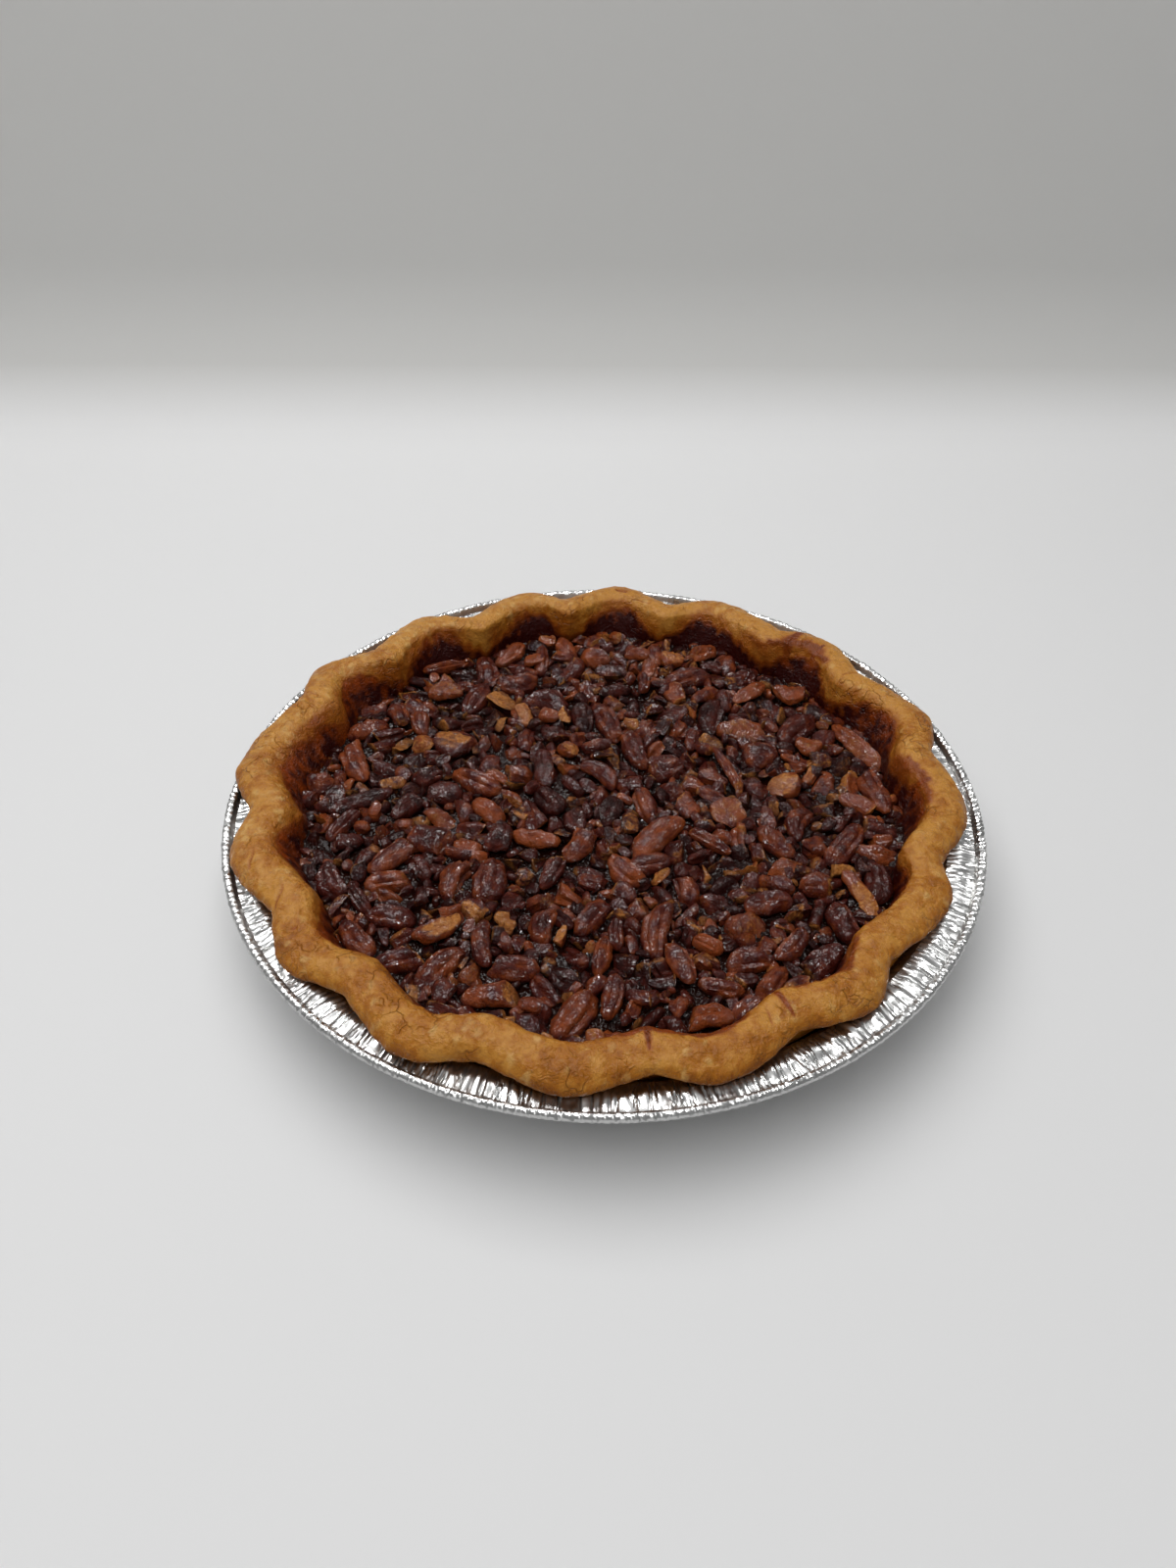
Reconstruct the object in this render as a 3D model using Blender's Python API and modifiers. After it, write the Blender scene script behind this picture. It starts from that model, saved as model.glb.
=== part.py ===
"""A whole pecan pie in its own crimped foil tin, at life size, in metres.

Three pieces: the foil tin, the pastry crust with its hand-fluted rim, and the set filling with the
chopped pecans that lie on it. +Z is up, and the origin is the middle of the tin's base. Bearings go
anticlockwise from +X, and the side shown nearest is -Y.
"""
import math
import random

import bmesh
import bpy
from mathutils import Euler, Matrix, Vector

MM = 0.001
SEED = 31
GAP = 0.3 * MM
MERGE_DISTANCE = 0.01 * MM

# foil tin
FOIL = 0.4 * MM
BASE_RADIUS = 96.0 * MM
WALL_FOOT = 2.0 * MM
WALL_TOP = 26.8 * MM
WALL_TOP_RADIUS = 110.6 * MM
FLANGE_INNER_RADIUS = 112.2 * MM
FLANGE_OUTER_RADIUS = 120.7 * MM
FLANGE_HEIGHT = 29.0 * MM
BEAD_RADIUS = 1.45 * MM
TIN_RADIUS = 124.2 * MM
TIN_STEPS = 120
PLEATS = 60
PLEAT_DEPTH = 0.6 * MM
FLUTE_DEPTH = 0.35 * MM
BASE_CORNER = 1.0 * MM
BEAD_LIFT = 1.0 * MM
BEAD_OPEN = 15.0
BEAD_SIDES = 5

# crust
CRUST_STEPS = 112
PASTRY = 4.0 * MM
WALL_CLEARANCE = 0.9 * MM
VALLEY_SHARPNESS = 0.45
UNDERSIDE_RADIUS = BASE_RADIUS - 2.6 * MM
FOOT_HEIGHT = 3.0 * MM
MID_WALL_RADIUS = BASE_RADIUS - 1.0 * MM
MID_WALL_HEIGHT = 12.0 * MM
FLOOR_RADIUS = BASE_RADIUS - 5.5 * MM
FLOOR_HEIGHT = FOIL + GAP + PASTRY

# Each flute of the rim: bearing and reach of the lobe, then of the valley after it, anticlockwise.
FLUTES = (
    (17.0, 120.3, 31.5, 111.5),
    (42.6, 118.5, 50.9, 110.0),
    (66.9, 118.9, 75.9, 109.0),
    (86.3, 119.7, 97.6, 107.5),
    (105.1, 117.5, 118.2, 107.5),
    (127.4, 119.0, 140.4, 111.0),
    (150.6, 122.0, 158.0, 116.0),
    (175.6, 123.4, 187.1, 115.0),
    (195.9, 121.0, 210.0, 114.0),
    (219.1, 119.3, 229.8, 114.0),
    (242.8, 120.1, 252.3, 114.5),
    (264.1, 118.9, 276.1, 113.5),
    (285.2, 118.7, 297.8, 112.0),
    (308.8, 117.0, 317.5, 110.3),
    (333.9, 115.4, 340.6, 110.3),
    (354.8, 118.0, 366.7, 112.5),
)
MEAN_LOBE = 119.4 * MM
MEAN_VALLEY = 111.8 * MM

# The rim's section, from the tin out and up over the crest and down to the filling: radius and
# height on a mean lobe, radius and height in a mean valley, how much of a flute's own reach the
# point follows, and how much of the crest's rise and fall.
RIM_SECTION = (
    (112.4, 30.8, 107.0, 31.6, 0.3, 0.0),
    (117.4, 30.9, 109.6, 32.4, 1.0, 0.2),
    (119.4, 33.6, 111.8, 35.2, 1.0, 0.5),
    (117.0, 37.4, 109.6, 38.6, 1.0, 1.0),
    (111.6, 39.4, 104.6, 39.9, 1.0, 1.0),
    (107.0, 38.4, 100.2, 39.0, 1.0, 1.0),
    (104.6, 35.2, 98.2, 35.4, 0.7, 0.6),
    (100.2, 26.4, 97.0, 26.4, 0.3, 0.0),
)
INNER_POINTS = 5

# filling
SYRUP_HEIGHT = 25.6 * MM
PECAN_TOP = 28.9 * MM
PECAN_UNEVENNESS = 0.9 * MM
THINNEST = 4.6 * MM
THICKEST = 7.2 * MM
SPOTS_TRIED = 24
TOP_CLEARANCE = 2.0 * GAP
PECAN_CLEARANCE = 4.0 * GAP
BODY_BOTTOM = FLOOR_HEIGHT + 1.3 * GAP
BODY_BOTTOM_RADIUS = FLOOR_RADIUS - 0.7 * MM
BODY_MIDDLE_RADIUS = MID_WALL_RADIUS - 0.6 * MM
LONG_PIECE = 12.0 * MM
HALF_SHARE = 0.6
THICKNESS_TO_WIDTH = (0.62, 0.80)
WIDTH_TO_LENGTH = (0.50, 0.80)
LARGE_TILT = 7.0
SMALL_TILT = 14.0
HALF_END_TAPER = 0.15
HALF_BLUNTNESS = 1.3
JITTER = 0.06
CHUNK_TOP = (0.60, 0.80)
CHUNK_FOOT = (0.85, 1.0)
CHUNK_RISE = (0.85, 1.05)
SETTLE_PASSES = 6

# The chopped pecans under and between the halves: how many, shortest and longest.
CHOPPED = (
    (50, 12.5, 17.0),
    (88, 8.0, 12.0),
)

# The largest halves of the top: x, y, heading in degrees, length, width.
LARGE_HALVES = (
    (16, -16, 47, 24, 11),
    (6, -32, -50, 15, 9),
    (15, -56, 78, 21, 9),
    (22, -70, -72, 17, 7),
    (43, -55, 20, 14, 12),
    (42, -68, 5, 14, 9),
    (47, -77, 55, 15, 7),
    (29, -88, 8, 15, 9),
    (-9, -88, 58, 20, 10),
    (0, -65, 80, 17, 8),
    (72, -54, -76, 17, 9),
    (56, -63, 52, 16, 7),
    (78, -43, -70, 21, 7),
    (78, -21, 55, 22, 9),
    (55, -18, -60, 17, 8),
    (64, -9, 65, 16, 8),
    (-36, -35, 84, 20, 11),
    (-56, -17, -20, 17, 13),
    (-68, -36, 5, 15, 8),
    (-65, -51, -5, 16, 8),
    (-74, -60, -52, 17, 8),
    (-49, -70, 52, 20, 9),
    (-33, -81, 4, 17, 9),
    (-19, -55, 78, 14, 8),
    (-22, -17, -20, 17, 8),
    (-81, 1, 22, 24, 8),
    (-68, -25, 50, 20, 9),
    (-43, 10, -33, 21, 9),
    (-53, 32, -30, 17, 15),
    (-86, 20, -70, 25, 9),
    (-47, 57, 70, 19, 9),
    (2, 45, -75, 25, 9),
    (11, 25, -75, 20, 8),
    (50, 40, -8, 18, 10),
    (31, 70, 22, 21, 10),
    (70, 39, 50, 20, 10),
    (91, 31, -58, 24, 8),
)


def clear_scene():
    """Remove whatever the file opened with."""
    for item in list(bpy.data.objects):
        bpy.data.objects.remove(item, do_unlink=True)


def make_collection(name):
    """A collection under the scene's own."""
    collection = bpy.data.collections.new(name)
    bpy.context.scene.collection.children.link(collection)
    return collection


def make_material(name, colour, roughness, metallic=0.0):
    """A plain Principled material."""
    material = bpy.data.materials.new(name)
    material.use_nodes = True
    shader = material.node_tree.nodes["Principled BSDF"]
    shader.inputs["Base Color"].default_value = (*colour, 1.0)
    shader.inputs["Roughness"].default_value = roughness
    shader.inputs["Metallic"].default_value = metallic
    return material


def add_object(name, mesh, collection, material=None):
    """Wrap a mesh in an object of the given name."""
    item = bpy.data.objects.new(name, mesh)
    collection.objects.link(item)
    if material:
        mesh.materials.append(material)
    return item


def turned(name, profile, steps, collection, material):
    """Turn a profile of (radius, height) points about Z, outer side first, and apply it."""
    mesh = bpy.data.meshes.new(name)
    edges = [(i, i + 1) for i in range(len(profile) - 1)]
    mesh.from_pydata([(radius, 0.0, height) for radius, height in profile], edges, [])
    item = add_object(name, mesh, collection)
    screw = item.modifiers.new("turn", "SCREW")
    screw.steps = steps
    screw.render_steps = steps
    screw.use_merge_vertices = True
    screw.merge_threshold = MERGE_DISTANCE
    applied = applied_mesh(item)
    item.modifiers.clear()
    item.data = applied
    bpy.data.meshes.remove(mesh)
    applied.name = name
    applied.materials.clear()
    applied.materials.append(material)
    return item


def applied_mesh(item):
    """The object's mesh as its modifiers leave it."""
    bpy.context.view_layer.update()
    depsgraph = bpy.context.evaluated_depsgraph_get()
    return bpy.data.meshes.new_from_object(item.evaluated_get(depsgraph))


def arc(centre, radius, start, end, count):
    """Points of an arc in the profile plane, angles in degrees."""
    points = []
    for step in range(count + 1):
        angle = math.radians(start + (end - start) * step / count)
        points.append((centre[0] + radius * math.cos(angle), centre[1] + radius * math.sin(angle)))
    return points


def ease(value, low, high):
    """0 below low, 1 above high, and a smooth step between."""
    share = min(max((value - low) / (high - low), 0.0), 1.0)
    return share * share * (3.0 - 2.0 * share)


def flute(bearing):
    """Where a bearing lies on the fluted rim: 1 on a lobe to 0 in a valley, and the two reaches."""
    def round_lobe(share):
        smooth = 0.5 + 0.5 * math.cos(math.pi * share)
        cusped = math.cos(0.5 * math.pi * share)
        return (1.0 - VALLEY_SHARPNESS) * smooth + VALLEY_SHARPNESS * cusped

    degrees = math.degrees(bearing) % 360.0
    if degrees < FLUTES[0][0]:
        degrees += 360.0
    for index, (lobe, lobe_reach, valley, valley_reach) in enumerate(FLUTES):
        following = FLUTES[(index + 1) % len(FLUTES)]
        last = index == len(FLUTES) - 1
        next_lobe = following[0] + (360.0 if last else 0.0)
        if lobe <= degrees <= valley:
            share = (degrees - lobe) / (valley - lobe)
            return round_lobe(share), lobe_reach * MM, valley_reach * MM
        if valley < degrees <= next_lobe:
            share = (degrees - valley) / (next_lobe - valley)
            return round_lobe(1.0 - share), following[1] * MM, valley_reach * MM
    raise ValueError("bearing outside the rim")


def rim_swell(bearing):
    """How much the rim's crest rises and falls round the pie."""
    return 0.7 * MM * math.sin(3.0 * bearing + 0.6) + 0.5 * MM * math.sin(7.0 * bearing + 2.1)


def crust_section(bearing):
    """The crust's half section at a bearing, from the middle underneath round to the middle on top."""
    lobe, lobe_reach, valley_reach = flute(bearing)
    lobe_shift = lobe_reach - MEAN_LOBE
    valley_shift = valley_reach - MEAN_VALLEY
    shift = lobe * lobe_shift + (1.0 - lobe) * valley_shift
    swell = rim_swell(bearing)

    def against_tin(height):
        return wall_radius(height) - FOIL - WALL_CLEARANCE, height

    rim = []
    for lobe_radius, lobe_height, valley_radius, valley_height, follow, rise in RIM_SECTION:
        radius = lobe * lobe_radius + (1.0 - lobe) * valley_radius
        height = lobe * lobe_height + (1.0 - lobe) * valley_height
        rim.append((radius * MM + follow * shift, height * MM + rise * swell))
    return [
        (0.0, FOIL + GAP),
        (UNDERSIDE_RADIUS, FOIL + GAP),
        against_tin(FOOT_HEIGHT),
        against_tin(WALL_TOP - MM),
        *rim,
        (MID_WALL_RADIUS, MID_WALL_HEIGHT),
        (FLOOR_RADIUS, FLOOR_HEIGHT),
    ]


def inner_wall(bearing, height):
    """The crust's inner radius at a bearing and height."""
    wall = crust_section(bearing)[:-INNER_POINTS - 1:-1]
    for (low_radius, low), (high_radius, high) in zip(wall, wall[1:]):
        if low <= height <= high:
            share = (height - low) / (high - low)
            return low_radius + share * (high_radius - low_radius)
    return wall[-1][0] if height > wall[-1][1] else wall[0][0]


def wall_radius(height):
    """The tin wall's outer radius at a height."""
    share = (height - WALL_FOOT) / (WALL_TOP - WALL_FOOT)
    return BASE_RADIUS + MM + share * (WALL_TOP_RADIUS - BASE_RADIUS - MM)


def pleat(bearing):
    """The tin's radial pleats, from 1 on a ridge to -1 in a fold, uneven from one to the next."""
    wander = 0.3 * math.sin(9.0 * bearing + 0.4) + 0.2 * math.sin(5.0 * bearing + 1.0)
    return (0.8 + wander) * math.cos(PLEATS * bearing)


def make_tin(collection, material):
    """The foil tin: flat base, fluted sloping wall, pleated flange and rolled bead."""
    bead = (TIN_RADIUS - BEAD_RADIUS, FLANGE_HEIGHT + BEAD_LIFT)
    inner = [
        (0.0, FOIL),
        (BASE_RADIUS - BASE_CORNER - FOIL, FOIL),
        (wall_radius(WALL_FOOT) - FOIL, WALL_FOOT + 0.1 * MM),
        (wall_radius(WALL_TOP) - FOIL, WALL_TOP + 0.2 * MM),
        (FLANGE_INNER_RADIUS, FLANGE_HEIGHT + 0.2 * MM),
        (FLANGE_OUTER_RADIUS, FLANGE_HEIGHT + FOIL),
    ]
    rolled = arc(bead, BEAD_RADIUS, 180.0 - BEAD_OPEN, BEAD_OPEN - 180.0, BEAD_SIDES)
    outer = [
        (FLANGE_OUTER_RADIUS, FLANGE_HEIGHT),
        (FLANGE_INNER_RADIUS + FOIL, FLANGE_HEIGHT - 0.2 * MM),
        (wall_radius(WALL_TOP), WALL_TOP),
        (wall_radius(WALL_FOOT), WALL_FOOT),
        (BASE_RADIUS - BASE_CORNER, 0.0),
        (0.0, 0.0),
    ]
    tin = turned("tin", inner + rolled + outer, TIN_STEPS, collection, material)
    for vertex in tin.data.vertices:
        radius = math.hypot(vertex.co.x, vertex.co.y)
        ridge = pleat(math.atan2(vertex.co.y, vertex.co.x))
        on_flange = ease(radius, WALL_TOP_RADIUS, FLANGE_INNER_RADIUS + MM)
        on_bead = ease(radius, FLANGE_OUTER_RADIUS, FLANGE_OUTER_RADIUS + MM)
        on_wall = ease(vertex.co.z, WALL_FOOT, 4.0 * WALL_FOOT) * (1.0 - on_flange)
        stretch = 1.0 + FLUTE_DEPTH * on_wall * ridge / max(radius, MM)
        vertex.co.x *= stretch
        vertex.co.y *= stretch
        vertex.co.z += PLEAT_DEPTH * on_flange * (1.0 - 0.8 * on_bead) * ridge
    return tin


def make_crust(collection, material):
    """The pastry shell, lofted between the section of a lobe and the section of a valley."""
    mesh = bpy.data.meshes.new("crust")
    builder = bmesh.new()
    rings = []
    for step in range(CRUST_STEPS):
        bearing = 2.0 * math.pi * step / CRUST_STEPS
        points = crust_section(bearing)[1:]
        rings.append([
            builder.verts.new((radius * math.cos(bearing), radius * math.sin(bearing), height))
            for radius, height in points
        ])
    underneath = builder.verts.new((0.0, 0.0, FOIL + GAP))
    on_top = builder.verts.new((0.0, 0.0, FLOOR_HEIGHT))
    for index, ring in enumerate(rings):
        following = rings[(index + 1) % len(rings)]
        builder.faces.new((underneath, following[0], ring[0]))
        builder.faces.new((on_top, ring[-1], following[-1]))
        for level in range(len(ring) - 1):
            builder.faces.new((ring[level], following[level], following[level + 1], ring[level + 1]))
    builder.to_mesh(mesh)
    builder.free()
    return add_object("crust", mesh, collection, material)


def make_syrup(collection, material):
    """The set filling's body, down to the crust's floor and out to its wall."""
    profile = [
        (0.0, SYRUP_HEIGHT),
        (BASE_RADIUS, SYRUP_HEIGHT),
        (BODY_MIDDLE_RADIUS, MID_WALL_HEIGHT),
        (BODY_BOTTOM_RADIUS, BODY_BOTTOM),
        (0.0, BODY_BOTTOM),
    ]
    syrup = turned("filling", profile, CRUST_STEPS, collection, material)
    for vertex in syrup.data.vertices:
        if vertex.co.z > SYRUP_HEIGHT - MM and vertex.co.xy.length > MM:
            bearing = math.atan2(vertex.co.y, vertex.co.x)
            reach = inner_wall(bearing, SYRUP_HEIGHT) - TOP_CLEARANCE
            vertex.co.x = reach * math.cos(bearing)
            vertex.co.y = reach * math.sin(bearing)
    return syrup


def half_shape(draw, length, width, thickness):
    """A pecan half: a long blunt dome, one end a little wider."""
    builder = bmesh.new()
    bmesh.ops.create_uvsphere(builder, u_segments=6, v_segments=3, radius=1.0)
    for vertex in builder.verts:
        along, across, up = vertex.co.z, vertex.co.x, vertex.co.y
        if abs(along) < 0.9:
            along *= HALF_BLUNTNESS
        jitter = 1.0 + draw.uniform(-JITTER, JITTER)
        across *= (1.0 - HALF_END_TAPER * along) * jitter
        vertex.co = Vector((0.5 * length * along, 0.5 * width * across, 0.5 * thickness * up * jitter))
    return builder


def chunk_shape(draw, length, width, thickness):
    """A broken piece: a blunt block with uneven corners, narrower on top."""
    builder = bmesh.new()
    bmesh.ops.create_cube(builder, size=1.0)
    for vertex in builder.verts:
        shrink = draw.uniform(*CHUNK_TOP) if vertex.co.z > 0.0 else draw.uniform(*CHUNK_FOOT)
        vertex.co.x *= length * shrink
        vertex.co.y *= width * shrink
        vertex.co.z *= thickness * draw.uniform(*CHUNK_RISE)
    return builder


def place_pieces(draw):
    """Where the pecans lie: the large halves first, then ever smaller pieces in what is left free."""
    placed = []
    for x, y, heading, length, width in LARGE_HALVES:
        placed.append((x * MM, y * MM, math.radians(heading), length * MM, width * MM))
    for count, shortest, longest in CHOPPED:
        for _ in range(count):
            length = draw.uniform(shortest, longest) * MM
            width = length * draw.uniform(*WIDTH_TO_LENGTH)
            x, y = freest_spot(draw, placed, length, width)
            placed.append((x, y, draw.uniform(0.0, math.pi), length, width))
    return placed


def freest_spot(draw, placed, length, width):
    """Of several spots drawn on the filling, the one furthest from the pieces placed before."""
    best = None
    best_clearance = -math.inf
    for _ in range(SPOTS_TRIED):
        bearing = draw.uniform(0.0, 2.0 * math.pi)
        reach = inner_wall(bearing, SYRUP_HEIGHT) - 0.5 * math.sqrt(length * width) - MM
        radius = reach * math.sqrt(draw.random())
        x, y = radius * math.cos(bearing), radius * math.sin(bearing)
        clearance = min(
            math.hypot(x - other[0], y - other[1]) - 0.5 * math.sqrt(other[3] * other[4])
            for other in placed
        )
        if clearance > best_clearance:
            best = x, y
            best_clearance = clearance
    return best


def keep_clear(builder):
    """Move a piece in from the crust until all of it is clear of the inner wall."""
    for _ in range(SETTLE_PASSES):
        worst = 0.0
        away = Vector((0.0, 0.0, 0.0))
        for vertex in builder.verts:
            bearing = math.atan2(vertex.co.y, vertex.co.x)
            radius = math.hypot(vertex.co.x, vertex.co.y)
            excess = radius - (inner_wall(bearing, vertex.co.z) - PECAN_CLEARANCE)
            if excess > worst:
                worst = excess
                away = Vector((-math.cos(bearing), -math.sin(bearing), 0.0)) * (excess + 0.1 * MM)
        if worst == 0.0:
            return
        bmesh.ops.translate(builder, verts=builder.verts, vec=away)


def make_pecans(collection):
    """The pieces of pecan, each its own closed shape, ready to be fused to the filling."""
    draw = random.Random(SEED)
    pieces = []
    for index, (x, y, heading, length, width) in enumerate(place_pieces(draw)):
        large = index < len(LARGE_HALVES)
        whole = large or (length > LONG_PIECE and draw.random() < HALF_SHARE)
        shape = half_shape if whole else chunk_shape
        thickness = min(max(width * draw.uniform(*THICKNESS_TO_WIDTH), THINNEST), THICKEST)
        builder = shape(draw, length, width, thickness)
        tilt = LARGE_TILT if large else SMALL_TILT
        turn = Euler((
            math.radians(draw.uniform(-tilt, tilt)),
            math.radians(draw.uniform(-tilt, tilt)),
            heading,
        ))
        top = PECAN_TOP + PECAN_UNEVENNESS * (0.8 if large else draw.uniform(-1.0, 0.6))
        place = Matrix.Translation((x, y, top - 0.5 * thickness)) @ turn.to_matrix().to_4x4()
        bmesh.ops.transform(builder, matrix=place, verts=builder.verts)
        keep_clear(builder)
        mesh = bpy.data.meshes.new(f"pecan_{index}")
        builder.to_mesh(mesh)
        builder.free()
        piece = add_object(f"pecan_{index}", mesh, collection)
        piece.hide_render = True
        piece.display_type = "WIRE"
        pieces.append(piece)
    return pieces


def keep_outer_skin(mesh):
    """Keep the largest connected skin, so that no sealed pocket or loose scrap is left."""
    builder = bmesh.new()
    builder.from_mesh(mesh)
    bmesh.ops.triangulate(builder, faces=builder.faces)
    builder.verts.ensure_lookup_table()
    seen = set()
    skins = []
    for start in builder.verts:
        if start.index in seen:
            continue
        skin = []
        queue = [start]
        seen.add(start.index)
        while queue:
            vertex = queue.pop()
            skin.append(vertex)
            for edge in vertex.link_edges:
                other = edge.other_vert(vertex)
                if other.index not in seen:
                    seen.add(other.index)
                    queue.append(other)
        skins.append(skin)
    skins.sort(key=len)
    for skin in skins[:-1]:
        bmesh.ops.delete(builder, geom=skin, context="VERTS")
    builder.to_mesh(mesh)
    builder.free()


def fuse_pecans(syrup, pieces, pieces_collection):
    """Join the pecans to the filling in one union, then drop the loose pieces."""
    union = syrup.modifiers.new("pecans", "BOOLEAN")
    union.operation = "UNION"
    union.operand_type = "COLLECTION"
    union.collection = pieces_collection
    union.solver = "MANIFOLD"
    joined = applied_mesh(syrup)
    syrup.modifiers.clear()
    plain = syrup.data
    syrup.data = joined
    bpy.data.meshes.remove(plain)
    keep_outer_skin(joined)
    for piece in pieces:
        bpy.data.objects.remove(piece, do_unlink=True)
    bpy.data.collections.remove(pieces_collection)


def shade(item, angle):
    """Smooth shading with sharp folds."""
    item.data.shade_smooth()
    item.data.set_sharp_from_angle(angle=math.radians(angle))


def main():
    clear_scene()
    parts = make_collection("pecan_pie")
    pieces_collection = make_collection("pecan_pieces")
    foil = make_material("foil", (0.80, 0.80, 0.79), 0.28, 1.0)
    pastry = make_material("pastry", (0.50, 0.26, 0.085), 0.6)
    pecans = make_material("pecans", (0.115, 0.032, 0.016), 0.32)
    tin = make_tin(parts, foil)
    crust = make_crust(parts, pastry)
    filling = make_syrup(parts, pecans)
    pieces = make_pecans(pieces_collection)
    fuse_pecans(filling, pieces, pieces_collection)
    shade(tin, 40.0)
    shade(crust, 60.0)
    shade(filling, 35.0)


main()
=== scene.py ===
"""Looks of the pecan pie: each plain solid gives way to detailed pieces of the same form and size."""
import itertools
import math

import bpy
import numpy as np
from mathutils import Euler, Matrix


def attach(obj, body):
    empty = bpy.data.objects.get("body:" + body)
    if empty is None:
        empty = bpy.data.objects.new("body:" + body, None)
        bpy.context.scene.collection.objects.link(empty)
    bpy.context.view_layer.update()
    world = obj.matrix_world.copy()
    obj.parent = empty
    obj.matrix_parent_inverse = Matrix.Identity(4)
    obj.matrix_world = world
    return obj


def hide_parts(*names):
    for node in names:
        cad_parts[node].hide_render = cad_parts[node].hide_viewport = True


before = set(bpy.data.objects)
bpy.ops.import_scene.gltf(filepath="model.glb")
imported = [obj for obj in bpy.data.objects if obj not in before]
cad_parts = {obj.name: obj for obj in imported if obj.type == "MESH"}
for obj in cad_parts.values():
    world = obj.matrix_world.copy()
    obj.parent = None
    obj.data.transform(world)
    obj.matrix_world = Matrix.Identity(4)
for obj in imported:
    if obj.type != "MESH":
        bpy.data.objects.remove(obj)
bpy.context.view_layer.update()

MM = 0.001
TURN = 2.0 * math.pi
BODY = "root"

# The numbers that scramble a place for the noise.
HASH_PRIMES = np.array([2376512323, 3625334849, 3407524639], np.uint32)
HASH_STEPS = ((15, 739982445), (12, 695872825), (15, 1))

# foil tin, as in the solids
FOIL = 0.4 * MM
BASE_RADIUS = 96.0 * MM
WALL_FOOT = 2.0 * MM
WALL_TOP = 26.8 * MM
WALL_TOP_RADIUS = 110.6 * MM
FLANGE_INNER_RADIUS = 112.2 * MM
FLANGE_OUTER_RADIUS = 120.7 * MM
FLANGE_HEIGHT = 29.0 * MM
BEAD_RADIUS = 1.45 * MM
TIN_RADIUS = 124.2 * MM
SOLID_PLEATS = 60
SOLID_PLEAT_DEPTH = 0.35 * MM
FLANGE_LIFT = 0.5 * MM
TIN_COLUMNS = 2400

# The flange's fine folds and the bead's knurling, in millimetres. A fold narrower than the full width is
# lower too.
FOLD_RADIUS = 116.5
FOLD_CIRCLE = TURN * FOLD_RADIUS
PLEAT_WIDTHS = (0.9, 2.9)
FULL_WIDTH = 2.2
FOLD_SHARE = 0.30
PLEAT_HEIGHTS = (0.3, 0.9)
FLANGE_FALLS = (0.8, 1.6)
MOST_PLEATS = 600
BEAD_CIRCLE = TURN * TIN_RADIUS / MM
BEAD_PARTS = (1.2, 3.2)
MOST_PARTS = 700

# crust, as in the solids
GAP = 0.3 * MM
PASTRY = 4.0 * MM
WALL_CLEARANCE = 0.9 * MM
VALLEY_SHARPNESS = 0.45
PASTRY_FLOOR = FOIL + GAP + PASTRY
CRUST_COLUMNS = 1200
CRUST_ROWS = (2, 4, 4, 5, 7, 9, 10, 9, 8, 7, 3, 2)

# Each flute of the rim: bearing and reach of the lobe, then of the valley after it, anticlockwise.
FLUTES = (
    (17.0, 120.3, 31.5, 111.5),
    (42.6, 118.5, 50.9, 110.0),
    (66.9, 118.9, 75.9, 109.0),
    (86.3, 119.7, 97.6, 107.5),
    (105.1, 117.5, 118.2, 107.5),
    (127.4, 119.0, 140.4, 111.0),
    (150.6, 122.0, 158.0, 116.0),
    (175.6, 123.4, 187.1, 115.0),
    (195.9, 121.0, 210.0, 114.0),
    (219.1, 119.3, 229.8, 114.0),
    (242.8, 120.1, 252.3, 114.5),
    (264.1, 118.9, 276.1, 113.5),
    (285.2, 118.7, 297.8, 112.0),
    (308.8, 117.0, 317.5, 110.3),
    (333.9, 115.4, 340.6, 110.3),
    (354.8, 118.0, 366.7, 112.5),
)
MEAN_LOBE = 119.4 * MM
MEAN_VALLEY = 111.8 * MM

# Small raised blisters on the rim, in millimetres, half of them on its left and back side (in radians),
# and one ring: bearing and radius of its middle, its own radius, half width and height.
BLISTERS = 620
BLISTER_SIDE = (1.6, 3.7)
BLISTER_PLACES = (100.0, 118.0)
BLISTER_SIZES = (0.45, 1.5)
BLISTER_HEIGHTS = (0.15, 0.85)
RING = (237.0, 112.6, 2.6, 0.6, 0.3)

# Small marks on the rim: bearing, radius, heading from the bearing, length, width, depth (all mm or degrees).
CREASES = (
    (200.0, 114.5, 80.0, 7.0, 0.9, 0.55),
    (209.5, 110.5, 60.0, 9.0, 0.9, 0.50),
    (216.5, 111.5, 10.0, 2.0, 0.8, 0.60),
    (85.9, 111.5, 90.0, 4.2, 1.3, 1.40),
    (81.5, 105.5, 75.0, 9.0, 0.6, 0.35),
    (77.0, 106.5, 80.0, 8.0, 0.5, 0.30),
    (286.0, 119.0, 20.0, 2.6, 0.7, 0.60),
    (293.8, 107.5, 0.0, 6.0, 0.6, 0.40),
    (248.5, 113.0, 60.0, 6.0, 0.5, 0.25),
    (31.5, 106.0, 0.0, 10.0, 0.7, 0.35),
    (9.0, 108.5, 15.0, 9.0, 0.6, 0.30),
    (140.4, 105.5, 0.0, 9.0, 0.6, 0.35),
    (158.0, 111.0, 5.0, 8.0, 0.6, 0.30),
    (276.1, 107.0, 0.0, 11.0, 0.7, 0.30),
)

# Runs of dark syrup over the rim: bearing, inner and outer radius, half width.
DRIPS = (
    (275.7, 99.0, 110.0, 1.1),
    (297.2, 101.0, 110.5, 0.9),
    (47.0, 102.0, 112.0, 2.4),
    (41.0, 101.0, 111.5, 1.3),
    (358.5, 102.0, 108.0, 1.6),
)

# Thin stains along the crest: first and last bearing, place across it, how dark.
STAINS = (
    (270.0, 293.0, 0.75, 0.60),
    (299.0, 318.0, 0.85, 0.50),
    (36.0, 52.0, 0.45, 0.45),
    (352.0, 366.0, 0.70, 0.40),
)

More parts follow.
